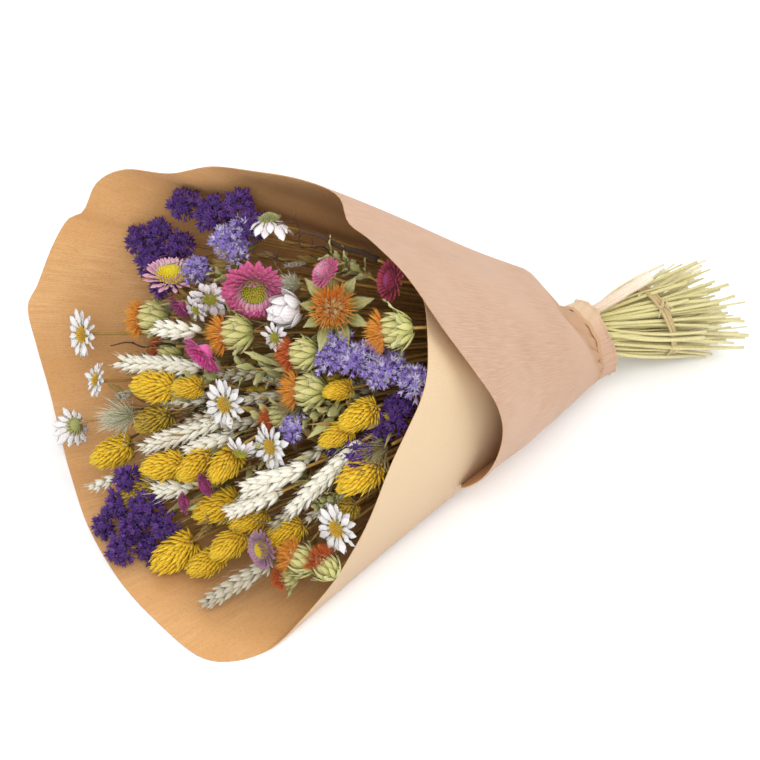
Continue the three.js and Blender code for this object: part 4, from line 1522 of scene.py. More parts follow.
def arrangement() -> list[Spray]:
    """The spray of every node that holds heads, leaves or twigs, close to the node's place.

    Returns:
        The sprays.
    """
    daisy, canary, wheat, dark, violet = Daisy(), CanaryGrass(), WheatEar(), Statice(), Statice(VIOLET, LILAC)
    plum = Strawflower(MAROON, MAROON, MAROON, CRIMSON, 70)
    rows = [
        ("strawflower_pink", Slot.BRACTS, same(Strawflower(count=190), (-83, 59, 21, 300, 40))),
        ("safflower_front", Slot.SAFFLOWER,
         same(Safflower(leaves=9, leaf_length=1.1), (-31, 47, 11, 0, 60))),
        ("wheat_left", Slot.CHAFF, same(wheat, (-148, 10, 66, 177, 6))),
        ("strawflower_white", Slot.WHITE, same(Globe(), (-61, 46, 9, 200, 60))),
        ("daisy_centre", Slot.WHITE, same(daisy, (-102, -16, 16, 250, 70))),
        ("daisy_far_left", Slot.WHITE, same(daisy, (-196, 30, 16, 200, 66))),
        ("daisy_left", Slot.WHITE, same(daisy, (-187, 0, 12, 170, 60))),
        ("daisy_low", Slot.WHITE, same(daisy, (-28, -98, 16, 240, 66))),
        ("safflower_low", Slot.SAFFLOWER,
         same(Safflower(leaves=5, leaf_length=0.6), (-51, -119, 9, 150, 40))
         + same(Safflower(RED_ORANGE, 5, leaf_length=0.6), (-35, -124, 8, 115, 40))),
        ("daisy_middle", Slot.WHITE, same(daisy, (-72, -44, 14, 240, 66))),
        ("wheat_broad", Slot.CHAFF,
         same(WheatEar(width=16.0), (-71, -66, 44, 202, 14))
         + same(wheat, (-84, -81, 40, 202, 10))),
        ("wheat_right", Slot.CHAFF, same(wheat, (-39, -67, 66, 225, 8))),
        ("wheat_middle", Slot.CHAFF, same(wheat, (-133, -37, 64, 199, 6), (-113, -42, 34, 200, 14))),
        ("canary_left", Slot.CANARY, same(canary, (-177, -48, 28, 205, 16))),
        ("canary_right", Slot.CANARY, same(canary, (-14, -64, 29, 225, 40))),
        ("canary_trio", Slot.CANARY,
         same(canary, (-143, -57, 27, 190, 24), (-122, -57, 25, 230, 40), (-103, -57, 25, 250, 40))),
        ("safflower_centre", Slot.SAFFLOWER,
         same(Safflower(leaves=5, leaf_length=0.7), (-94, 31, 10, 188, 24))),
        ("strawflower_fuchsia", Slot.BRACTS,
         same(Strawflower(FUCHSIA, FUCHSIA, FUCHSIA, MAROON), (-117, 17, 16, 235, 25))),
        ("safflower_left", Slot.SAFFLOWER,
         same(Safflower(leaves=5, leaf_length=0.7), (-149, 41, 10, 184, 24))),
        ("strawflower_pale", Slot.BRACTS,
         same(Strawflower(PALE_PINK, PALE_PINK, LEMON_DISC, LEMON_DISC, 90, 0.52), (-138, 69, 16, 66, 34))),
        ("safflower_right", Slot.SAFFLOWER,
         same(Safflower(leaves=6, leaf_length=0.9), (11, 33, 10, 190, 30))),
        ("safflower_middle", Slot.SAFFLOWER,
         same(Safflower(leaves=5, leaf_length=0.7), (-46, -7, 10, 180, 26))),
        ("canary_near", Slot.CANARY,
         same(canary, (-28, -7, 18, 200, 50), (-14, -24, 25, 220, 40), (-29, -37, 21, 215, 30))),
        ("statice_violet_near", Slot.STATICE_VIOLET,
         same(violet, (-27, 22, 9, 90, 60), (-8, 15, 10, 90, 60), (8, 7, 10, 90, 60),
              (24, -2, 10, 60, 60))),
        ("canary_low", Slot.CANARY, same(canary, (-108, -84, 30, 200, 16), (-86, -92, 24, 210, 30))),
        ("canary_upper_left", Slot.CANARY, same(canary, (-149, -4, 30, 180, 10), (-127, -5, 20, 186, 20))),
        ("canary_bottom", Slot.CANARY,
         same(canary, (-136, -115, 32, 215, 12), (-115, -121, 24, 215, 30), (-100, -109, 25, 225, 30))),
        ("wheat_upper", Slot.CHAFF, same(wheat, (-134, 33, 32, 175, 10))),
        ("wheat_back", Slot.CHAFF, same(wheat, (-127, -12, 30, 183, 14))),
        ("wheat_edge", Slot.CHAFF, same(WheatEar(width=9.0), (-180, -67, 26, 204, 8))),
        ("wheat_drooping", Slot.CHAFF, same(WheatEar(awn=9.0), (-136, -72, 26, 184, 10))),
        ("wheat_bottom", Slot.CHAFF, same(WheatEar(SHADED_CHAFF, awn=8.0), (-95, -135, 58, 212, 6))),
        ("strawflower_small", Slot.BRACTS,
         same(Strawflower(PINK, ROSE, ROSE, PINK), (-36, 71, 11, 120, 60))),
        ("strawflower_crimson", Slot.BRACTS,
         same(Strawflower(CRIMSON, CRIMSON, MAROON, MAROON), (7, 66, 14, 180, 60))),
        ("rhodanthe", Slot.WHITE,
         same(Daisy(BLUSH_WHITE, OLIVE_DISC, 16, width=0.58), (-112, 54, 13, 300, 40))
         + same(Daisy(BLUSH_WHITE, OLIVE_DISC, 13, width=0.58), (-121, 46, 9, 250, 50))),
        ("white_papery", Slot.WHITE,
         same(Daisy(BLUSH_WHITE, CALYX, 13, -46.0, 0.5), (-73, 106, 17, 84, 22))),
        ("white_small", Slot.WHITE, same(Daisy(BLUSH_WHITE, OLIVE_DISC, 15), (-69, 28, 10, 250, 60))),
        ("white_drooping", Slot.WHITE,
         same(Daisy(BLUSH_WHITE, OLIVE_DISC, 15, -34.0), (-92, -48, 12, 265, 20))),
        ("strawflower_maroon", Slot.BRACTS,
         same(Strawflower(MAROON, MAROON, MAROON, CRIMSON, 80), (-132, 48, 10, 235, 24))),
        ("strawflower_plum", Slot.BRACTS, same(plum, (-115, -69, 9, 220, 50), (-129, -81, 8, 200, 50))),
        ("strawflower_mauve", Slot.BRACTS,
         same(Strawflower(MAUVE, MAUVE, LEMON_DISC, GOLD_DISC), (-78, -112, 13, 220, 64))),
        ("safflower_red", Slot.SAFFLOWER,
         same(Safflower(RED_ORANGE, 5, leaf_length=0.6), (-50, 17, 9, 186, 20))),
        ("safflower_small", Slot.SAFFLOWER,
         same(Safflower(RED_ORANGE, 5, leaf_length=0.6), (-138, 18, 8, 160, 20))),
        ("statice_violet_star", Slot.STATICE_VIOLET, same(violet, (-57, -32, 8, 90, 70))),
        ("statice_violet_top", Slot.STATICE_VIOLET,
         same(violet, (-101, 91, 10, 90, 60), (-90, 98, 9, 90, 60), (-121, 72, 8, 90, 60))),
        ("statice_dark_top", Slot.STATICE_DARK,
         same(dark, (-129, 115, 10, 90, 60), (-110, 109, 11, 90, 60), (-93, 115, 10, 90, 60))),
        ("statice_dark_left", Slot.STATICE_DARK,
         same(dark, (-158, 92, 9, 90, 60), (-149, 79, 11, 90, 60), (-132, 88, 9, 90, 60))),
        ("statice_dark_edge", Slot.STATICE_DARK,
         same(dark, (-165, -66, 9, 200, 60), (-171, -82, 9, 200, 60), (-153, -84, 11, 200, 60))),
        ("statice_dark_low", Slot.STATICE_DARK,
         same(dark, (-161, -98, 10, 200, 60), (-170, -112, 9, 200, 60), (-140, -97, 9, 240, 60))),
        ("statice_dark_near", Slot.STATICE_DARK,
         same(dark, (12, -23, 11, 90, 60), (-1, -37, 8, 90, 60), (-26, -44, 9, 90, 60))),
        ("plume_cream", Slot.PLUME, same(Plume(), (-166, -24, 17, 190, 30))),
        ("daisy_turned", Slot.WHITE, same(Daisy(pitch=34.0), (-201, -30, 14, 195, -24))),
        ("twig_thick", Slot.TWIG, same(Twig(radius=2.3, bend=1.0, shoots=0), (-27, 89, 54, 160, 4))),
        ("twig_curly", Slot.TWIG, same(Twig(radius=0.6, bend=5.0, shoots=10), (-50, 92, 40, 140, 14))),
        ("foliage", Slot.LEAVES, same(Sprig(), (-78, 7, 44, 180, 20), (-62, -22, 40, 200, 20))),
    ]
    return [Spray(*row) for row in rows]


# ------------------------------------------------------------------ the paper
# The free edge of the sheet, from its start under the flap down the near side, along the
# table and up the far side, then over the top and down the flap's own edge. The upper part
# is given as the eye sees it: steps from the left and from the top of the view, and
# millimetres towards the eye.
LIP_LOWER = [
    (-148, 24, 174), (-151, -21, 174), (-172, -60, 165), (-198, -80, 138), (-219, -87, 108), (-243, -94, 70),
    (-266, -96, 34), (-300, -96, 4), (-329, -93, -2), (-350, -78, -4), (-362, -40, -6), (-369, 3, -7),
    (-368, 52, -6), (-360, 96, -3), (-353, 127, 7), (-347, 154, 25), (-344, 175, 48),
]
LIP_SEEN = [
    (27, 308, -61), (37, 285, -56), (53, 246, -48), (68, 218, -42), (83, 211, -37), (97, 183, -26),
    (124, 171, -14), (168, 174, 1), (214, 165, 14), (262, 171, 29), (302, 181, 42), (337, 197, 54),
    (349, 221, 63), (374, 241, 74), (421, 296, 90), (453, 338, 87), (477, 375, 76), (497, 407, 58),
    (504, 433, 38), (498, 456, 18),
]
LIP_END = [(-138, -74, 46), (-146, -65, 31), (-124, -46, 12)]


def lip_knots() -> np.ndarray:
    """The points that the lip passes through, to the whole millimetre.

    A step across or up the view is its width over its number of steps, and the eye places
    each seen point at its own depth.

    Returns:
        (K, 3) points.
    """
    column, row, out = np.array(LIP_SEEN, float).T
    middle = EYE.frame_steps / 2.0
    step = EYE.frame_width / EYE.frame_steps
    seen = np.round(EYE.spot((column - middle) * step, (middle - row) * step, out))
    return np.vstack([LIP_LOWER, seen, LIP_END])


def smooth_curve(knots: np.ndarray, samples: int) -> np.ndarray:
    """A curve through knots at even steps of length.

    Between two knots it is the cubic whose slopes at them are half the step between their
    neighbours, and the curve is then walked at even lengths.

    Args:
        knots: (K, 3) points to pass through.
        samples: how many points to return.

    Returns:
        (samples, 3) points.
    """
    padded = np.vstack([2 * knots[0] - knots[1], knots, 2 * knots[-1] - knots[-2]])
    t = np.linspace(0, 1, 24, endpoint=False)[None, :, None]
    p0, p1, p2, p3 = (padded[k:len(padded) - 3 + k, None, :] for k in range(4))
    square = (2 * p0 - 5 * p1 + 4 * p2 - p3) * t ** 2
    cube = (3 * p1 - p0 - 3 * p2 + p3) * t ** 3
    spans = 0.5 * (2 * p1 + (p2 - p0) * t + square + cube)
    fine = np.vstack([spans.reshape(-1, 3), knots[-1:]])
    length = np.concatenate([[0], np.cumsum(np.linalg.norm(np.diff(fine, axis=0), axis=1))])
    even = np.linspace(0, length[-1], samples)
    return np.stack([np.interp(even, length, fine[:, k]) for k in range(3)], axis=-1)


@dataclass
class PaperWrap:
    """One sheet of kraft paper wrapped into a cone, with its folded band at the neck.

    The sheet leaves the band as a narrow sleeve, swells at a slanted shoulder and then runs
    straight to its lip.
    """

    neck_x: float = -8.0
    inner_radius: float = 20.5
    outer_radius: float = 25.6
    thickness: float = 0.5
    axis_side: float = 0.1
    axis_rise: float = 0.48
    shoulder_x: float = -29.3
    shoulder_slant: float = 16.0
    shoulder_first: float = -37.0
    shoulder_swell: tuple[float, float] = (2.5, 13.5)
    shoulder_upper: float = np.radians(44.0)
    sleeve_step: tuple[float, float] = (8.0, 6.0)
    sleeve_flare: float = 1.5
    shortest: float = 3.0
    lip_margin: float = 0.98
    held_from: float = 0.25
    held_to: float = 1.02
    around: int = 250
    along: int = 70
    band: tuple[float, float] = (-13.0, 1.0)
    band_radius: float = 27.1

    def lip(self) -> tuple[np.ndarray, np.ndarray]:
        """The lip and the angle round the cone's axis of each of its points.

        Returns:
            (A, 3) points and (A,) unwrapped angles.
        """
        lip = smooth_curve(lip_knots(), self.around + 1)
        back = self.neck_x - lip[:, 0]
        side = (lip[:, 1] - NECK.centre[1]) / back - self.axis_side
        rise = (lip[:, 2] - NECK.centre[2]) / back - self.axis_rise
        return lip, np.unwrap(np.arctan2(rise, side))

    def ring(self, x: np.ndarray, radius: np.ndarray, angle: np.ndarray) -> np.ndarray:
        """Points at angles and radii round the cone's axis, where it passes x.

        Args:
            x: along the bouquet.
            radius: from the axis.
            angle: round the axis, in radians.

        Returns:
            (A, 3) points.
        """
        back = self.neck_x - x
        y = NECK.centre[1] + self.axis_side * back + radius * np.cos(angle)
        z = NECK.centre[2] + self.axis_rise * back + radius * np.sin(angle)
        return np.stack([x + 0.0 * angle, y, z], axis=-1)

    def wall(self, points: np.ndarray) -> tuple[np.ndarray, np.ndarray, np.ndarray]:
        """Where points lie against the cone's wall.

        Args:
            points: (N, 3) points.

        Returns:
            Each point's distance from the axis, the wall's distance there, and the share of
            the way from the neck to the lip.
        """
        lip, angle = self.lip()
        first = np.abs(angle - angle[0]) < 2.0 * np.pi
        lip, angle = lip[first], angle[first]
        back = self.neck_x - points[:, 0]
        side = points[:, 1] - NECK.centre[1] - self.axis_side * back
        rise = points[:, 2] - NECK.centre[2] - self.axis_rise * back
        away = np.angle(np.exp(1j * (np.arctan2(rise, side)[:, None] - angle[None, :])))
        nearest = lip[np.argmin(np.abs(away), axis=1)]
        lip_back = self.neck_x - nearest[:, 0]
        lip_radius = np.hypot(nearest[:, 1] - NECK.centre[1] - self.axis_side * lip_back,
                              nearest[:, 2] - NECK.centre[2] - self.axis_rise * lip_back)
        share = back / lip_back
        return np.hypot(side, rise), self.inner_radius + (lip_radius - self.inner_radius) * share, share

    def holds(self, points: np.ndarray, margin: float = 0.88) -> np.ndarray:
        """Whether points lie inside the cone, clear of its wall, and not deep in its narrow end.

        Args:
            points: (N, 3) points.
            margin: how much of the way from the axis to the wall they may take.

        Returns:
            (N,) truth values.
        """
        radius, wall, share = self.wall(points)
        return (radius < margin * wall) & (share > self.held_from) & (share < self.held_to)

    def held(self, points: np.ndarray, margin: float = 0.88) -> np.ndarray:
        """Draws points towards the cone's axis until they are clear of its wall.

        Towards the lip they may come nearer to the wall.

        Args:
            points: points, any leading shape.
            margin: how much of the way from the axis to the wall they may take.

        Returns:
            The points, in the same shape.
        """
        radius, wall, share = self.wall(points.reshape(-1, 3))
        margin = margin + (self.lip_margin - margin) * np.clip((share - 0.6) / 0.25, 0.0, 1.0)
        shrink = np.minimum(1.0, margin * wall / radius).reshape(*points.shape[:-1], 1)
        back = self.neck_x - points[..., 0]
        axis = np.stack([points[..., 0], NECK.centre[1] + self.axis_side * back,
                         NECK.centre[2] + self.axis_rise * back], axis=-1)
        return axis + (points - axis) * shrink

    def middle(self) -> np.ndarray:
        """The sheet's middle surface on a grid.

        The four rings of neck, sleeve, shoulder and lip are joined by straight lines, whose
        corners are rounded by a mean over a short stretch either side. Then come the
        waves and creases, which all die away at the table.

        Returns:
            (A, L, 3) points.
        """
        lip, angle = self.lip()
        a = np.linspace(0.0, 1.0, self.around + 1)
        radius = self.inner_radius + (self.outer_radius - self.inner_radius) * a
        neck = self.ring(np.full_like(angle, self.neck_x), radius, angle)
        upper = np.cos(angle - self.shoulder_upper)
        bulge = np.clip(upper, 0.0, 1.0) ** 2
        shoulder_x = np.clip(self.shoulder_x - self.shoulder_slant * upper, self.shoulder_first,
                             self.neck_x - 2.0 * self.shortest)
        sleeve_x = np.minimum(shoulder_x + self.sleeve_step[0] + self.sleeve_step[1] * bulge,
                              self.neck_x - self.shortest)
        sleeve = self.ring(sleeve_x, radius + self.sleeve_flare, angle)
        share = ((shoulder_x - self.neck_x) / (lip[:, 0] - self.neck_x))[:, None]
        swell = (self.shoulder_swell[0] + self.shoulder_swell[1] * bulge)[:, None]
        outward = np.stack([0.0 * angle, np.cos(angle), np.sin(angle)], axis=-1)
        shoulder = neck + (lip - neck) * share + outward * swell
        knots = np.stack([neck, sleeve, shoulder, lip], axis=1)
        stops = np.array([0.0, 0.07, 0.2, 1.0])
        s = np.linspace(0.0, 1.0, self.along + 1) ** 1.1
        points = np.zeros((len(angle), len(s), 3))
        offsets = np.linspace(-1.0, 1.0, 5)
        for offset in offsets:
            at = s + offset * np.minimum(0.012, np.minimum(s, 1.0 - s))
            span = np.clip(np.searchsorted(stops, at, side="right") - 1, 0, 2)
            part = ((at - stops[span]) / (stops[span + 1] - stops[span]))[None, :, None]
            points += (knots[:, span] * (1.0 - part) + knots[:, span + 1] * part) / len(offsets)
        return points + self.normals(points) * self.creases(angle[:, None], a[:, None], s[None, :], points)

    def creases(self, angle: np.ndarray, a: np.ndarray, s: np.ndarray, points: np.ndarray) -> np.ndarray:
        """How far each point of the sheet stands off its smooth form.

        Args:
            angle: round the axis.
            a: share of the way round the sheet.
            s: share of the way from the band to the lip.
            points: (A, L, 3) points, which are left alone near the table.

        Returns:
            (A, L, 1) millimetres along the normals.
        """
        pleats = np.abs(np.sin(angle * 6.5 + 2.0 * np.sin(angle * 2.0) + s * 9.0))
        gathered = 1.9 * pleats * np.exp(-((s - 0.1) / 0.08) ** 2)
        gathered += 0.7 * np.sin(angle * 19.0 + s * 70.0) * np.exp(-((s - 0.08) / 0.07) ** 2)
        slow = 1.6 * np.sin(angle * 3.0 + s * 5.0) * np.sin(np.pi * s)
        rim = 1.3 * np.sin(angle * 7.0 + 1.3) * s ** 3
        flap = np.clip((a - 0.78) / 0.1, 0.0, 1.0)
        fold_line = (a - 0.9) + 0.05 * np.sin(s * 6.0)
        folds = 1.5 * np.exp(-(fold_line / 0.012) ** 2) - 1.2 * np.exp(-((fold_line + 0.05) / 0.01) ** 2)
        high = np.clip(points[..., 2] / 14.0, 0.0, 1.0)
        return ((gathered + slow + rim + flap * folds * np.sin(np.pi * s)) * high)[..., None]

    @staticmethod
    def normals(points: np.ndarray) -> np.ndarray:
        """Unit normals of a grid of points, away from the cone's inside.

        Args:
            points: (A, L, 3) grid.

        Returns:
            (A, L, 3) normals.
        """
        along = np.gradient(points, axis=1)
        across = np.gradient(points, axis=0)
        normal = np.cross(along, across)
        return normal / (np.linalg.norm(normal, axis=-1, keepdims=True) + 1e-9)

    def build(self) -> None:
        """Adds the sheet and the band."""
        points = self.middle()
        normal = self.normals(points)
        outside = points + normal * self.thickness / 2
        inside = points - normal * self.thickness / 2
        outside[..., 2] = np.maximum(outside[..., 2], 0.0)
        inside[..., 2] = np.maximum(inside[..., 2], self.thickness)
        self.add_sheet("paper_sheet", outside, inside, "paper_wrap")
        self.add_sheet("paper_collar", *self.collar(), "paper_band")

    def collar(self) -> tuple[np.ndarray, np.ndarray]:
        """The band: a strip wound a little more than once round the neck and crumpled.

        Returns:
            The grids of its outside and inside.
        """
        turn = np.linspace(0.0, 2.0 * np.pi * 1.08, 220)[:, None]
        s = np.linspace(0, 1, 22)[None, :]
        crumple = 0.7 * np.sin(turn * 9 + s * 3) * np.sin(turn * 2 + 1) + 0.4 * np.sin(turn * 17 + s * 6)
        edge = 1.0 * np.sin(turn * 2 + 0.4) + 0.7 * np.sin(turn * 5) + 0.4 * np.sin(turn * 13)
        roll = 1.0 * np.exp(-((s - 0.94) / 0.07) ** 2) + 0.7 * (1 - s) ** 3
        radius = self.band_radius + 0.5 * turn / (2 * np.pi) + crumple * 0.7 + roll
        x = self.band[0] + (self.band[1] - self.band[0]) * s + edge * np.where(s > 0.5, s, s - 1) * 0.9
        y = NECK.centre[1] + radius * np.cos(turn)
        z = NECK.centre[2] + radius * np.sin(turn)
        points = np.stack([x + 0 * turn, y, z], axis=-1)
        outward = np.stack([0 * radius, np.cos(turn) + 0 * s, np.sin(turn) + 0 * s], axis=-1)
        return points + outward * 0.3, points - outward * 0.3

    def add_sheet(self, name: str, outside: np.ndarray, inside: np.ndarray, node: str) -> None:
        """Makes a closed thin sheet from its two faces.

        Args:
            name: the piece's name.
            outside: (A, L, 3) points of the outer face.
            inside: the same for the inner face.
            node: the frame node that it stands for.
        """
        rows, cols = outside.shape[:2]
        loop = np.concatenate([outside, inside[:, ::-1]], axis=1)
        ring = 2 * cols
        quads = ring_quads(rows, ring)[:, ::-1]
        first = np.arange(cols - 1)
        cap = np.stack([first, first + 1, ring - 2 - first, ring - 1 - first], axis=-1)
        quads = np.concatenate([quads, cap[:, ::-1], cap + (rows - 1) * ring])
        flat = loop.reshape(-1, 3)
        face = np.tile(np.concatenate([np.ones(cols), np.zeros(cols)]), rows)
        share = np.repeat(np.linspace(0.0, 1.0, rows), ring)
        depth_share = np.linspace(0.0, 1.0, cols)
        depth_share = np.tile(np.concatenate([depth_share, depth_share[::-1]]), rows)
        shape = shape_of(flat, quads, share, depth_share).painted(PAPER)
        piece = add_piece(name, shape, node)
        piece.data.set_sharp_from_angle(angle=np.radians(50.0))
        piece.data.attributes.new("face", "FLOAT", "POINT").data.foreach_set("value", face.astype(np.float32))
        width = np.concatenate([[0], np.cumsum(np.linalg.norm(np.diff(outside[:, -1], axis=0), axis=1))])
        depth = np.concatenate([[0], np.cumsum(np.linalg.norm(np.diff(outside[rows // 2], axis=0), axis=1))])
        depth = np.concatenate([depth, depth[::-1]])
        uv = np.stack(np.meshgrid(width, depth, indexing="ij"), axis=-1).reshape(-1, 2) * MM
        corner = np.empty(len(piece.data.loops), dtype=np.int32)
        piece.data.loops.foreach_get("vertex_index", corner)
        piece.data.uv_layers.new(name="UVMap").data.foreach_set("uv", uv[corner].astype(np.float32).ravel())


# ------------------------------------------------------------------ stems and tie
@dataclass
class StemBundle:
    """All the stems: from each head to the neck, and the fan of cut ends behind it."""

    wrap: PaperWrap
    ends: int = 170
    start_x: float = -4.0
    end_x: float = 98.0
    fan_side: float = 2.7
    fan_rise: float = 2.3
    twist: float = 1.0

    entry_x: float = -34.0
    inner_end_x: float = 2.0
    packed_radius: float = 15.6
    uneven: tuple[float, float] = (-34.0, 9.0)
    bow: float = 1.9
    stem_radius: tuple[float, float] = (0.6, 1.6)

    def build(self, feet: list[tuple[np.ndarray, np.ndarray]]) -> None:
        """Adds the stems.

        Args:
            feet: where each head's stem starts, and the head's axis.
        """
        foot, axis = (np.array(part) for part in zip(*feet))
        upper = self.strands(foot, np.random.default_rng(3), axis, 1.1)
        whole = joined([upper.painted(STALK), self.tails().painted(STRAW)])
        add_piece("stems_all", whole, "stems")

    def strands(self, foot: np.ndarray, rng: np.random.Generator, axis: np.ndarray | None = None,
                radius: float = 0.65) -> Shape:
        """Stems from points in the mouth to the neck.

        Each runs straight but for its top, which hangs below the head along the head's own
        axis by 90 t exp(1 - 20 t) millimetres and so is back on the line after a few
        centimetres. Points outside the paper are then drawn inside it.

        Args:
            foot: (N, 3) tops of the stems.
            rng: where the random numbers come from.
            axis: (N, 3) axes of their heads, if they have any.
            radius: of the stems.

        Returns:
            All the stems as one shape.
        """
        reach = self.entry_x - foot[:, 0]
        side = (foot[:, 1] - NECK.centre[1]) / reach - self.wrap.axis_side
        rise = (foot[:, 2] - NECK.centre[2]) / reach - self.wrap.axis_rise
        spread = np.minimum(1.2, 0.72 / np.hypot(side, rise)) * NECK.bundle_radius
        end = np.stack([np.full(len(foot), self.inner_end_x), NECK.centre[1] + spread * side,
                        NECK.centre[2] + spread * rise], axis=-1)
        t = (np.linspace(0.0, 1.0, 18) ** 1.7)[None, :, None]
        paths = foot[:, None] * (1.0 - t) + end[:, None] * t
        if axis is not None:
            paths = paths - axis[:, None] * 90.0 * t * np.exp(1.0 - 20.0 * t)
        paths = paths + rng.normal(0.0, 0.9, (len(foot), 1, 3)) * np.sin(np.pi * t) * 2.0
        paths[:, :-2] = self.wrap.held(paths[:, :-2])
        return tubes(paths, np.full((len(foot), 18), radius), 5)

    def tails(self) -> Shape:
        """Cut ends: lines that twist past each other at the tie, each a little bowed.

        Returns:
            All the cut ends as one shape.
        """
        rng = np.random.default_rng(11)
        n = self.ends
        ring = self.packed_radius * np.sqrt((np.arange(n) + 0.5) / n)
        turn = np.arange(n) * GOLDEN_ANGLE
        start = NECK.at(np.full(n, self.start_x))
        start += np.stack([0.0 * turn, ring * np.cos(turn), ring * np.sin(turn)], axis=-1)
        far = turn + self.twist
        spread = ring * rng.uniform(0.85, 1.06, n)
        end = NECK.at(self.end_x + rng.uniform(*self.uneven, n))
        side = spread * self.fan_side * np.cos(far)
        rise = spread * self.fan_rise * np.sin(far)
        end += np.stack([0.0 * turn, side, rise], axis=-1)
        end[:, 2] = np.maximum(end[:, 2], 2.6)
        t = np.linspace(0, 1, 10)[None, :, None]
        bow = rng.normal(0, self.bow, (n, 1, 3)) * np.sin(np.pi * t)
        paths = start[:, None] * (1 - t) + end[:, None] * t + bow
        paths[..., 2] = np.maximum(paths[..., 2], 2.3)
        radii = rng.uniform(*self.stem_radius, n)[:, None] * np.linspace(1.0, 0.92, 10)[None]
        return tubes(paths, radii, 6)


@dataclass
class RaffiaTie:
    """Raffia wound round the stems behind the neck, with a knot and loose ends."""

    x: float = 48.0
    radius: float = 25.6
    strands: int = 4
    slant: float = -6.0

    def build(self) -> None:
        """Adds the tie: strands that circle the bundle, each at its own slight slant."""
        rng = np.random.default_rng(5)
        centre = NECK.at(np.array(self.x))
        turn = np.linspace(0, 2 * np.pi, 73)
        paths = []
        for number in range(self.strands):
            offset = (number - (self.strands - 1) / 2) * 1.7
            radius = self.radius + rng.uniform(-0.4, 0.4) + 0.3 * np.sin(turn * 5 + number)
            x = self.x + offset + 0.25 * self.slant * np.sin(turn)
            x = x + rng.normal(0, 1.0) * np.cos(turn + number)
            y, z = centre[1] + radius * np.cos(turn), centre[2] + radius * np.sin(turn)
            paths.append(np.stack([x, y, z], axis=-1))
        loops = tubes(np.array(paths), np.full((self.strands, 73), 1.0), 7)
        knot_at = centre + np.array([0.0, -self.radius * 0.3, self.radius * 0.94])
        t = np.linspace(0, 1, 14)[:, None]
        ends = []
        for side, drop in ((-1.0, -8.0), (1.0, -11.0), (0.4, -6.0)):
            tip = knot_at + np.array([side * 7.0, -6.0, drop * 0.4])
            middle = (knot_at + tip) / 2 + np.array([side * 2.0, -2.0, 3.0])
            ends.append((1 - t) ** 2 * knot_at + 2 * t * (1 - t) * middle + t ** 2 * tip)
        loose = tubes(np.array(ends), np.linspace(0.9, 0.4, 14)[None], 6)
        wind = np.linspace(0, 4 * np.pi, 40)
        knot = np.stack([knot_at[0] + 3.4 * np.cos(wind), knot_at[1] + 2.2 * np.sin(2 * wind),
                         knot_at[2] + 0.8 + 1.5 * np.sin(wind)], axis=-1)[None]
        shape = joined([loops, loose, tubes(knot, np.full((1, 40), 1.1), 7)])
        add_piece("raffia_strands", shape.painted(RAFFIA), "raffia_tie")


@dataclass
class CutBranch:
    """The thick pale branch that leaves the band on top of the stems."""

    start: tuple[float, float, float] = (-6.0, 6.0, 18.6)
    end: tuple[float, float, float] = (51.0, 8.0, 28.4)
    radius: float = 3.9

    def build(self) -> None:
        """Adds the branch: a slightly knobbly rod with one knot."""
        origin = np.array(NECK.centre)
        t = np.linspace(0, 1, 24)[:, None]
        line = (origin + np.array(self.start)) * (1 - t) + (origin + np.array(self.end)) * t
        knot = np.exp(-((t[:, 0] - 0.55) / 0.05) ** 2)
        radius = self.radius * (0.97 + 0.05 * np.sin(t[:, 0] * 17.0) + 0.05 * knot)
        rod = tubes(line[None], radius[None], 14).painted(PALE_WOOD)
        add_piece("branch_cut", rod, "thick_branch")


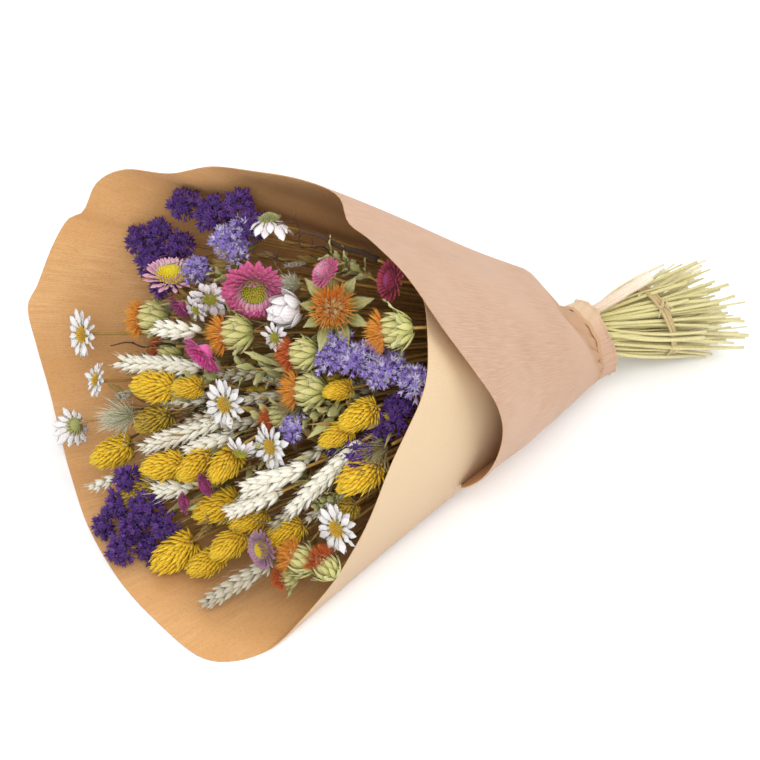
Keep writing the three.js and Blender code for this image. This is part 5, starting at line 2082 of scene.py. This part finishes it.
# ------------------------------------------------------------------ the filling
@dataclass
class Underbrush:
    """Thin stems, grass, leaves, ears and buds that fill the cone below the blooms."""

    wrap: PaperWrap
    centre: tuple[float, float] = (-84.0, -20.0)
    spread: tuple[float, float] = (98.0, 112.0)
    least_height: float = 5.0
    bare_above: float = 38.0

    def spots(self, rng: np.random.Generator, count: int, shallow: float, deep: float) -> np.ndarray:
        """Random points below the dome of the blooms, inside the paper and over the table.

        Args:
            rng: where the random numbers come from.
            count: how many points to return, at most.
            shallow: least depth below the dome.
            deep: greatest depth below it.

        Returns:
            (N, 3) points.
        """
        tries = 4 * count
        turn = rng.uniform(0.0, 2.0 * np.pi, tries)
        reach = np.sqrt(rng.random(tries))
        across = self.centre[0] + self.spread[0] * reach * np.cos(turn)
        up = self.centre[1] + self.spread[1] * reach * np.sin(turn)
        points = EYE.spot(across, up, EYE.flower_top(across, up) - rng.uniform(shallow, deep, tries))
        good = (points[:, 2] > self.least_height) & self.wrap.holds(points, 0.8)
        return points[good][:count]

    def strewn(self, template: Shape, finish: Finish, rng: np.random.Generator, count: int,
               depth: tuple[float, float], stray: float) -> Shape:
        """Repeats of a template that point away from the neck, each straying a little.

        Args:
            template: the shape to repeat, along +X.
            finish: what it is painted with.
            rng: where the random numbers come from.
            count: how many there are, at most.
            depth: least and greatest depth below the dome.
            stray: how far the directions scatter.

        Returns:
            All the repeats as one shape.
        """
        at = self.spots(rng, count, *depth)
        course = at - np.array(NECK.centre)
        course /= np.linalg.norm(course, axis=1, keepdims=True)
        course += rng.normal(0, stray, course.shape)
        tips = at + course * template.points[:, 0].max()
        across, up = EYE.seen(tips)
        away = np.hypot((across - self.centre[0]) / self.spread[0], (up - self.centre[1]) / self.spread[1])
        kept = self.wrap.holds(tips) & (away < 1.0) & (tips[:, 2] > self.least_height)
        at, course = at[kept], course[kept]
        places = pointing(at, course, rng.uniform(0, 2 * np.pi, len(at)), rng.uniform(0.6, 1.15, len(at)))
        return scatter(template, places, rng.random()).painted(finish)

    def build(self) -> None:
        """Adds the filling in three pieces."""
        rng = np.random.default_rng(23)
        leaf = blade(22.0, 5.6, rows=6, ring=6, belly=0.45, cup=0.06, curl=0.24, fold=0.12, wave=0.1,
                     thick=0.4)
        narrow = blade(24.0, 2.2, rows=6, ring=6, belly=0.4, cup=0.1, curl=-0.2, fold=0.2, wave=0.12,
                       thick=0.35)
        grass = blade(34.0, 1.1, rows=8, ring=4, belly=0.4, root=0.7, cup=0.0, curl=0.12, thick=0.5)
        leaves = [
            self.strewn(leaf, LEAF, rng, 130, (8.0, 36.0), 0.45),
            self.strewn(leaf, BRUSH_LEAF, rng, 170, (12.0, 50.0), 0.5),
            self.strewn(narrow, BRUSH_LEAF, rng, 170, (8.0, 46.0), 0.4),
            self.strewn(narrow, SPINE_LEAF, rng, 90, (8.0, 40.0), 0.4),
            self.strewn(grass, SPINE_LEAF, rng, 170, (14.0, 50.0), 0.22),
        ]
        add_piece("filling_leaves", joined(leaves), None)
        # Turns a head that stands along +Z so that it lies along +X.
        lying = np.eye(4)[[2, 1, 0, 3]] * np.array([[1.0], [1.0], [-1.0], [1.0]])
        ear = WheatEar(SHADED_CHAFF, width=8.0, awn=3.0).shape(24.0).moved(lying)
        spike = CanaryGrass(OLIVE, width=0.4, fullness=0.2).shape(15.0).moved(lying)
        seeds = [
            self.strewn(ear, SHADED_CHAFF, rng, 20, (12.0, 34.0), 0.3),
            self.strewn(spike, OLIVE, rng, 30, (12.0, 36.0), 0.4),
            self.strewn(spike, BUD_BROWN, rng, 26, (10.0, 32.0), 0.5),
        ]
        add_piece("filling_seeds", joined(seeds), None)
        ends = self.spots(rng, 140, 14.0, 44.0)
        ends = ends[EYE.seen(ends)[1] < self.bare_above]
        add_piece("filling_stems", StemBundle(self.wrap).strands(ends, rng).painted(STALK), None)


def fillers() -> list[Spray]:
    """Heads that sit below the front ones and belong to no node of the frame.

    Returns:
        The sprays.
    """
    violet = Statice(VIOLET, LILAC)
    dark = Statice()
    shaded = WheatEar(SHADED_CHAFF, width=10.0)
    rows = [
        ("canary_shaded", Slot.CANARY, 9.0,
         same(CanaryGrass(OLIVE), (-150, -26, 26, 200, 14), (-158, -74, 28, 204, 14))
         + same(CanaryGrass(), (-62, -101, 24, 215, 24))
         + same(CanaryGrass(OLIVE), (-24, -88, 20, 225, 24))),
        ("ears_shaded", Slot.CHAFF, 9.0,
         same(shaded, (-90, 4, 36, 186, 14), (-82, -12, 36, 190, 12), (-88, -28, 32, 196, 12),
              (-45, -50, 28, 215, 20), (-36, -84, 28, 220, 20), (-112, -24, 34, 196, 10),
              (-58, -88, 34, 214, 12))),
        ("grass_tufts", Slot.PLUME, 8.0,
         same(Plume(SPINE_LEAF), (2, -46, 15, 215, 30), (-6, -60, 14, 225, 30))
         + same(Plume(), (-56, 62, 9, 150, 50))
         + same(Plume(BRUSH_LEAF), (-93, 74, 15, 160, 40))
         + same(Plume(SPINE_LEAF), (-54, -16, 13, 200, 40))),
        ("grey_sprigs", Slot.LEAVES, 9.0,
         same(Sprig(), (-16, -60, 26, 215, 20), (-32, -78, 26, 220, 20), (-38, -22, 32, 205, 20),
              (-50, -122, 22, 205, 16), (-96, 66, 32, 150, 30), (-116, 2, 32, 186, 16),
              (-20, 76, 34, 150, 24))),
        ("safflower_bits", Slot.SAFFLOWER, 7.0,
         same(Safflower(RED_ORANGE, 4), (-60, -130, 6, 200, 50), (-66, -24, 7, 200, 30))),
        ("statice_filling", Slot.STATICE_DARK, 7.0,
         same(dark, (-84, 101, 10, 90, 60), (-146, 98, 8, 90, 60), (-150, -112, 9, 220, 60),
              (-12, -50, 9, 90, 60), (-142, 62, 8, 120, 60), (-181, -96, 8, 210, 60))),
        ("violet_filling", Slot.STATICE_VIOLET, 5.0,
         same(violet, (-18, 13, 9, 90, 60), (0, 4, 9, 90, 60), (-34, 12, 8, 90, 60), (-96, 82, 8, 90, 60))),
        ("twig_left", Slot.TWIG, 3.0, same(Twig(radius=0.8, bend=1.5, shoots=4), (-156, 23, 46, 178, 4))),
    ]
    return [Spray(name, slot, blooms, sink=sink) for name, slot, sink, blooms in rows]


# ------------------------------------------------------------------ studio
@dataclass
class Studio:
    """A pale floor, soft light from above and a long-lens camera."""

    sensor: float = 36.0

    def build(self) -> None:
        """Adds the floor, the lights and the camera."""
        across, up, out = EYE.axes()
        centre = Placer.metres(np.array(EYE.centre))
        camera = bpy.data.cameras.new("camera")
        camera.sensor_width = self.sensor
        camera.lens = self.sensor * EYE.distance / EYE.frame_width
        camera.clip_end = 20.0
        holder = bpy.data.objects.new("camera", camera)
        bpy.context.scene.collection.objects.link(holder)
        holder.location = Vector(centre + out * EYE.distance * MM)
        holder.rotation_euler = Vector(-out).to_track_quat("-Z", "Y").to_euler()
        bpy.context.scene.camera = holder
        self.floor()
        self.light("key", (-0.7, -0.9, 1.7), 1.3, 17.5)
        self.light("fill", (0.9, -0.8, 1.1), 1.2, 8.5)
        self.light("rim", (0.3, 1.1, 1.5), 1.2, 9.0)
        world = bpy.data.worlds.new("world")
        world.use_nodes = True
        world.node_tree.nodes["Background"].inputs["Color"].default_value = (1.0, 1.0, 1.0, 1.0)
        world.node_tree.nodes["Background"].inputs["Strength"].default_value = 0.8
        bpy.context.scene.world = world
        bpy.context.scene.view_settings.view_transform = "Standard"

    @staticmethod
    def floor() -> None:
        """Adds a plain pale floor."""
        mesh = bpy.data.meshes.new("floor")
        half, level = 6.0, -0.0004
        corners = [(-half, -half, level), (half, -half, level), (half, half, level), (-half, half, level)]
        mesh.from_pydata(corners, [], [(0, 1, 2, 3)])
        n = Nodes("floor_paint")
        n.colour(n.ramp(n.noise(3.0), [(0.0, "#f6f6f6"), (1.0, "#fbfbfb")]))
        n.gloss(0.9, 0.1)
        mesh.materials.append(n.material)
        floor = bpy.data.objects.new("floor", mesh)
        bpy.context.scene.collection.objects.link(floor)

    @staticmethod
    def light(name: str, at: tuple[float, float, float], size: float, power: float) -> None:
        """Adds one square soft light aimed at the bouquet.

        Args:
            name: the light's name.
            at: where it hangs, in metres.
            size: its side, in metres.
            power: in watts.
        """
        lamp = bpy.data.lights.new(name, "AREA")
        lamp.size = size
        lamp.energy = power
        holder = bpy.data.objects.new(name, lamp)
        bpy.context.scene.collection.objects.link(holder)
        holder.location = at
        holder.rotation_euler = (Vector((0.0, 0.0, 0.08)) - Vector(at)).to_track_quat("-Z", "Y").to_euler()


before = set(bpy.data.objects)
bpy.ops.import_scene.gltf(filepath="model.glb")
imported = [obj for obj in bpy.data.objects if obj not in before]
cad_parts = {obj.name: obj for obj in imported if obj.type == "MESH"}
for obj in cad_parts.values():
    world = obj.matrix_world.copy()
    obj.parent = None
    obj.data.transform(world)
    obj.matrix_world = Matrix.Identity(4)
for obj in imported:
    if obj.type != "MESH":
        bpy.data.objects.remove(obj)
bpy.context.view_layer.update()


def main() -> None:
    """Builds the bouquet and its studio."""
    logging.basicConfig(level=logging.INFO, format="%(message)s")
    Placer.learn()
    Studio().build()
    wrap = PaperWrap()
    wrap.build()
    sprays = arrangement() + fillers()
    for spray in sprays:
        spray.build()
    StemBundle(wrap).build([foot for spray in sprays for foot in spray.feet])
    Underbrush(wrap).build()
    RaffiaTie().build()
    CutBranch().build()
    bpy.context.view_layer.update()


if __name__ == "__main__":
    main()
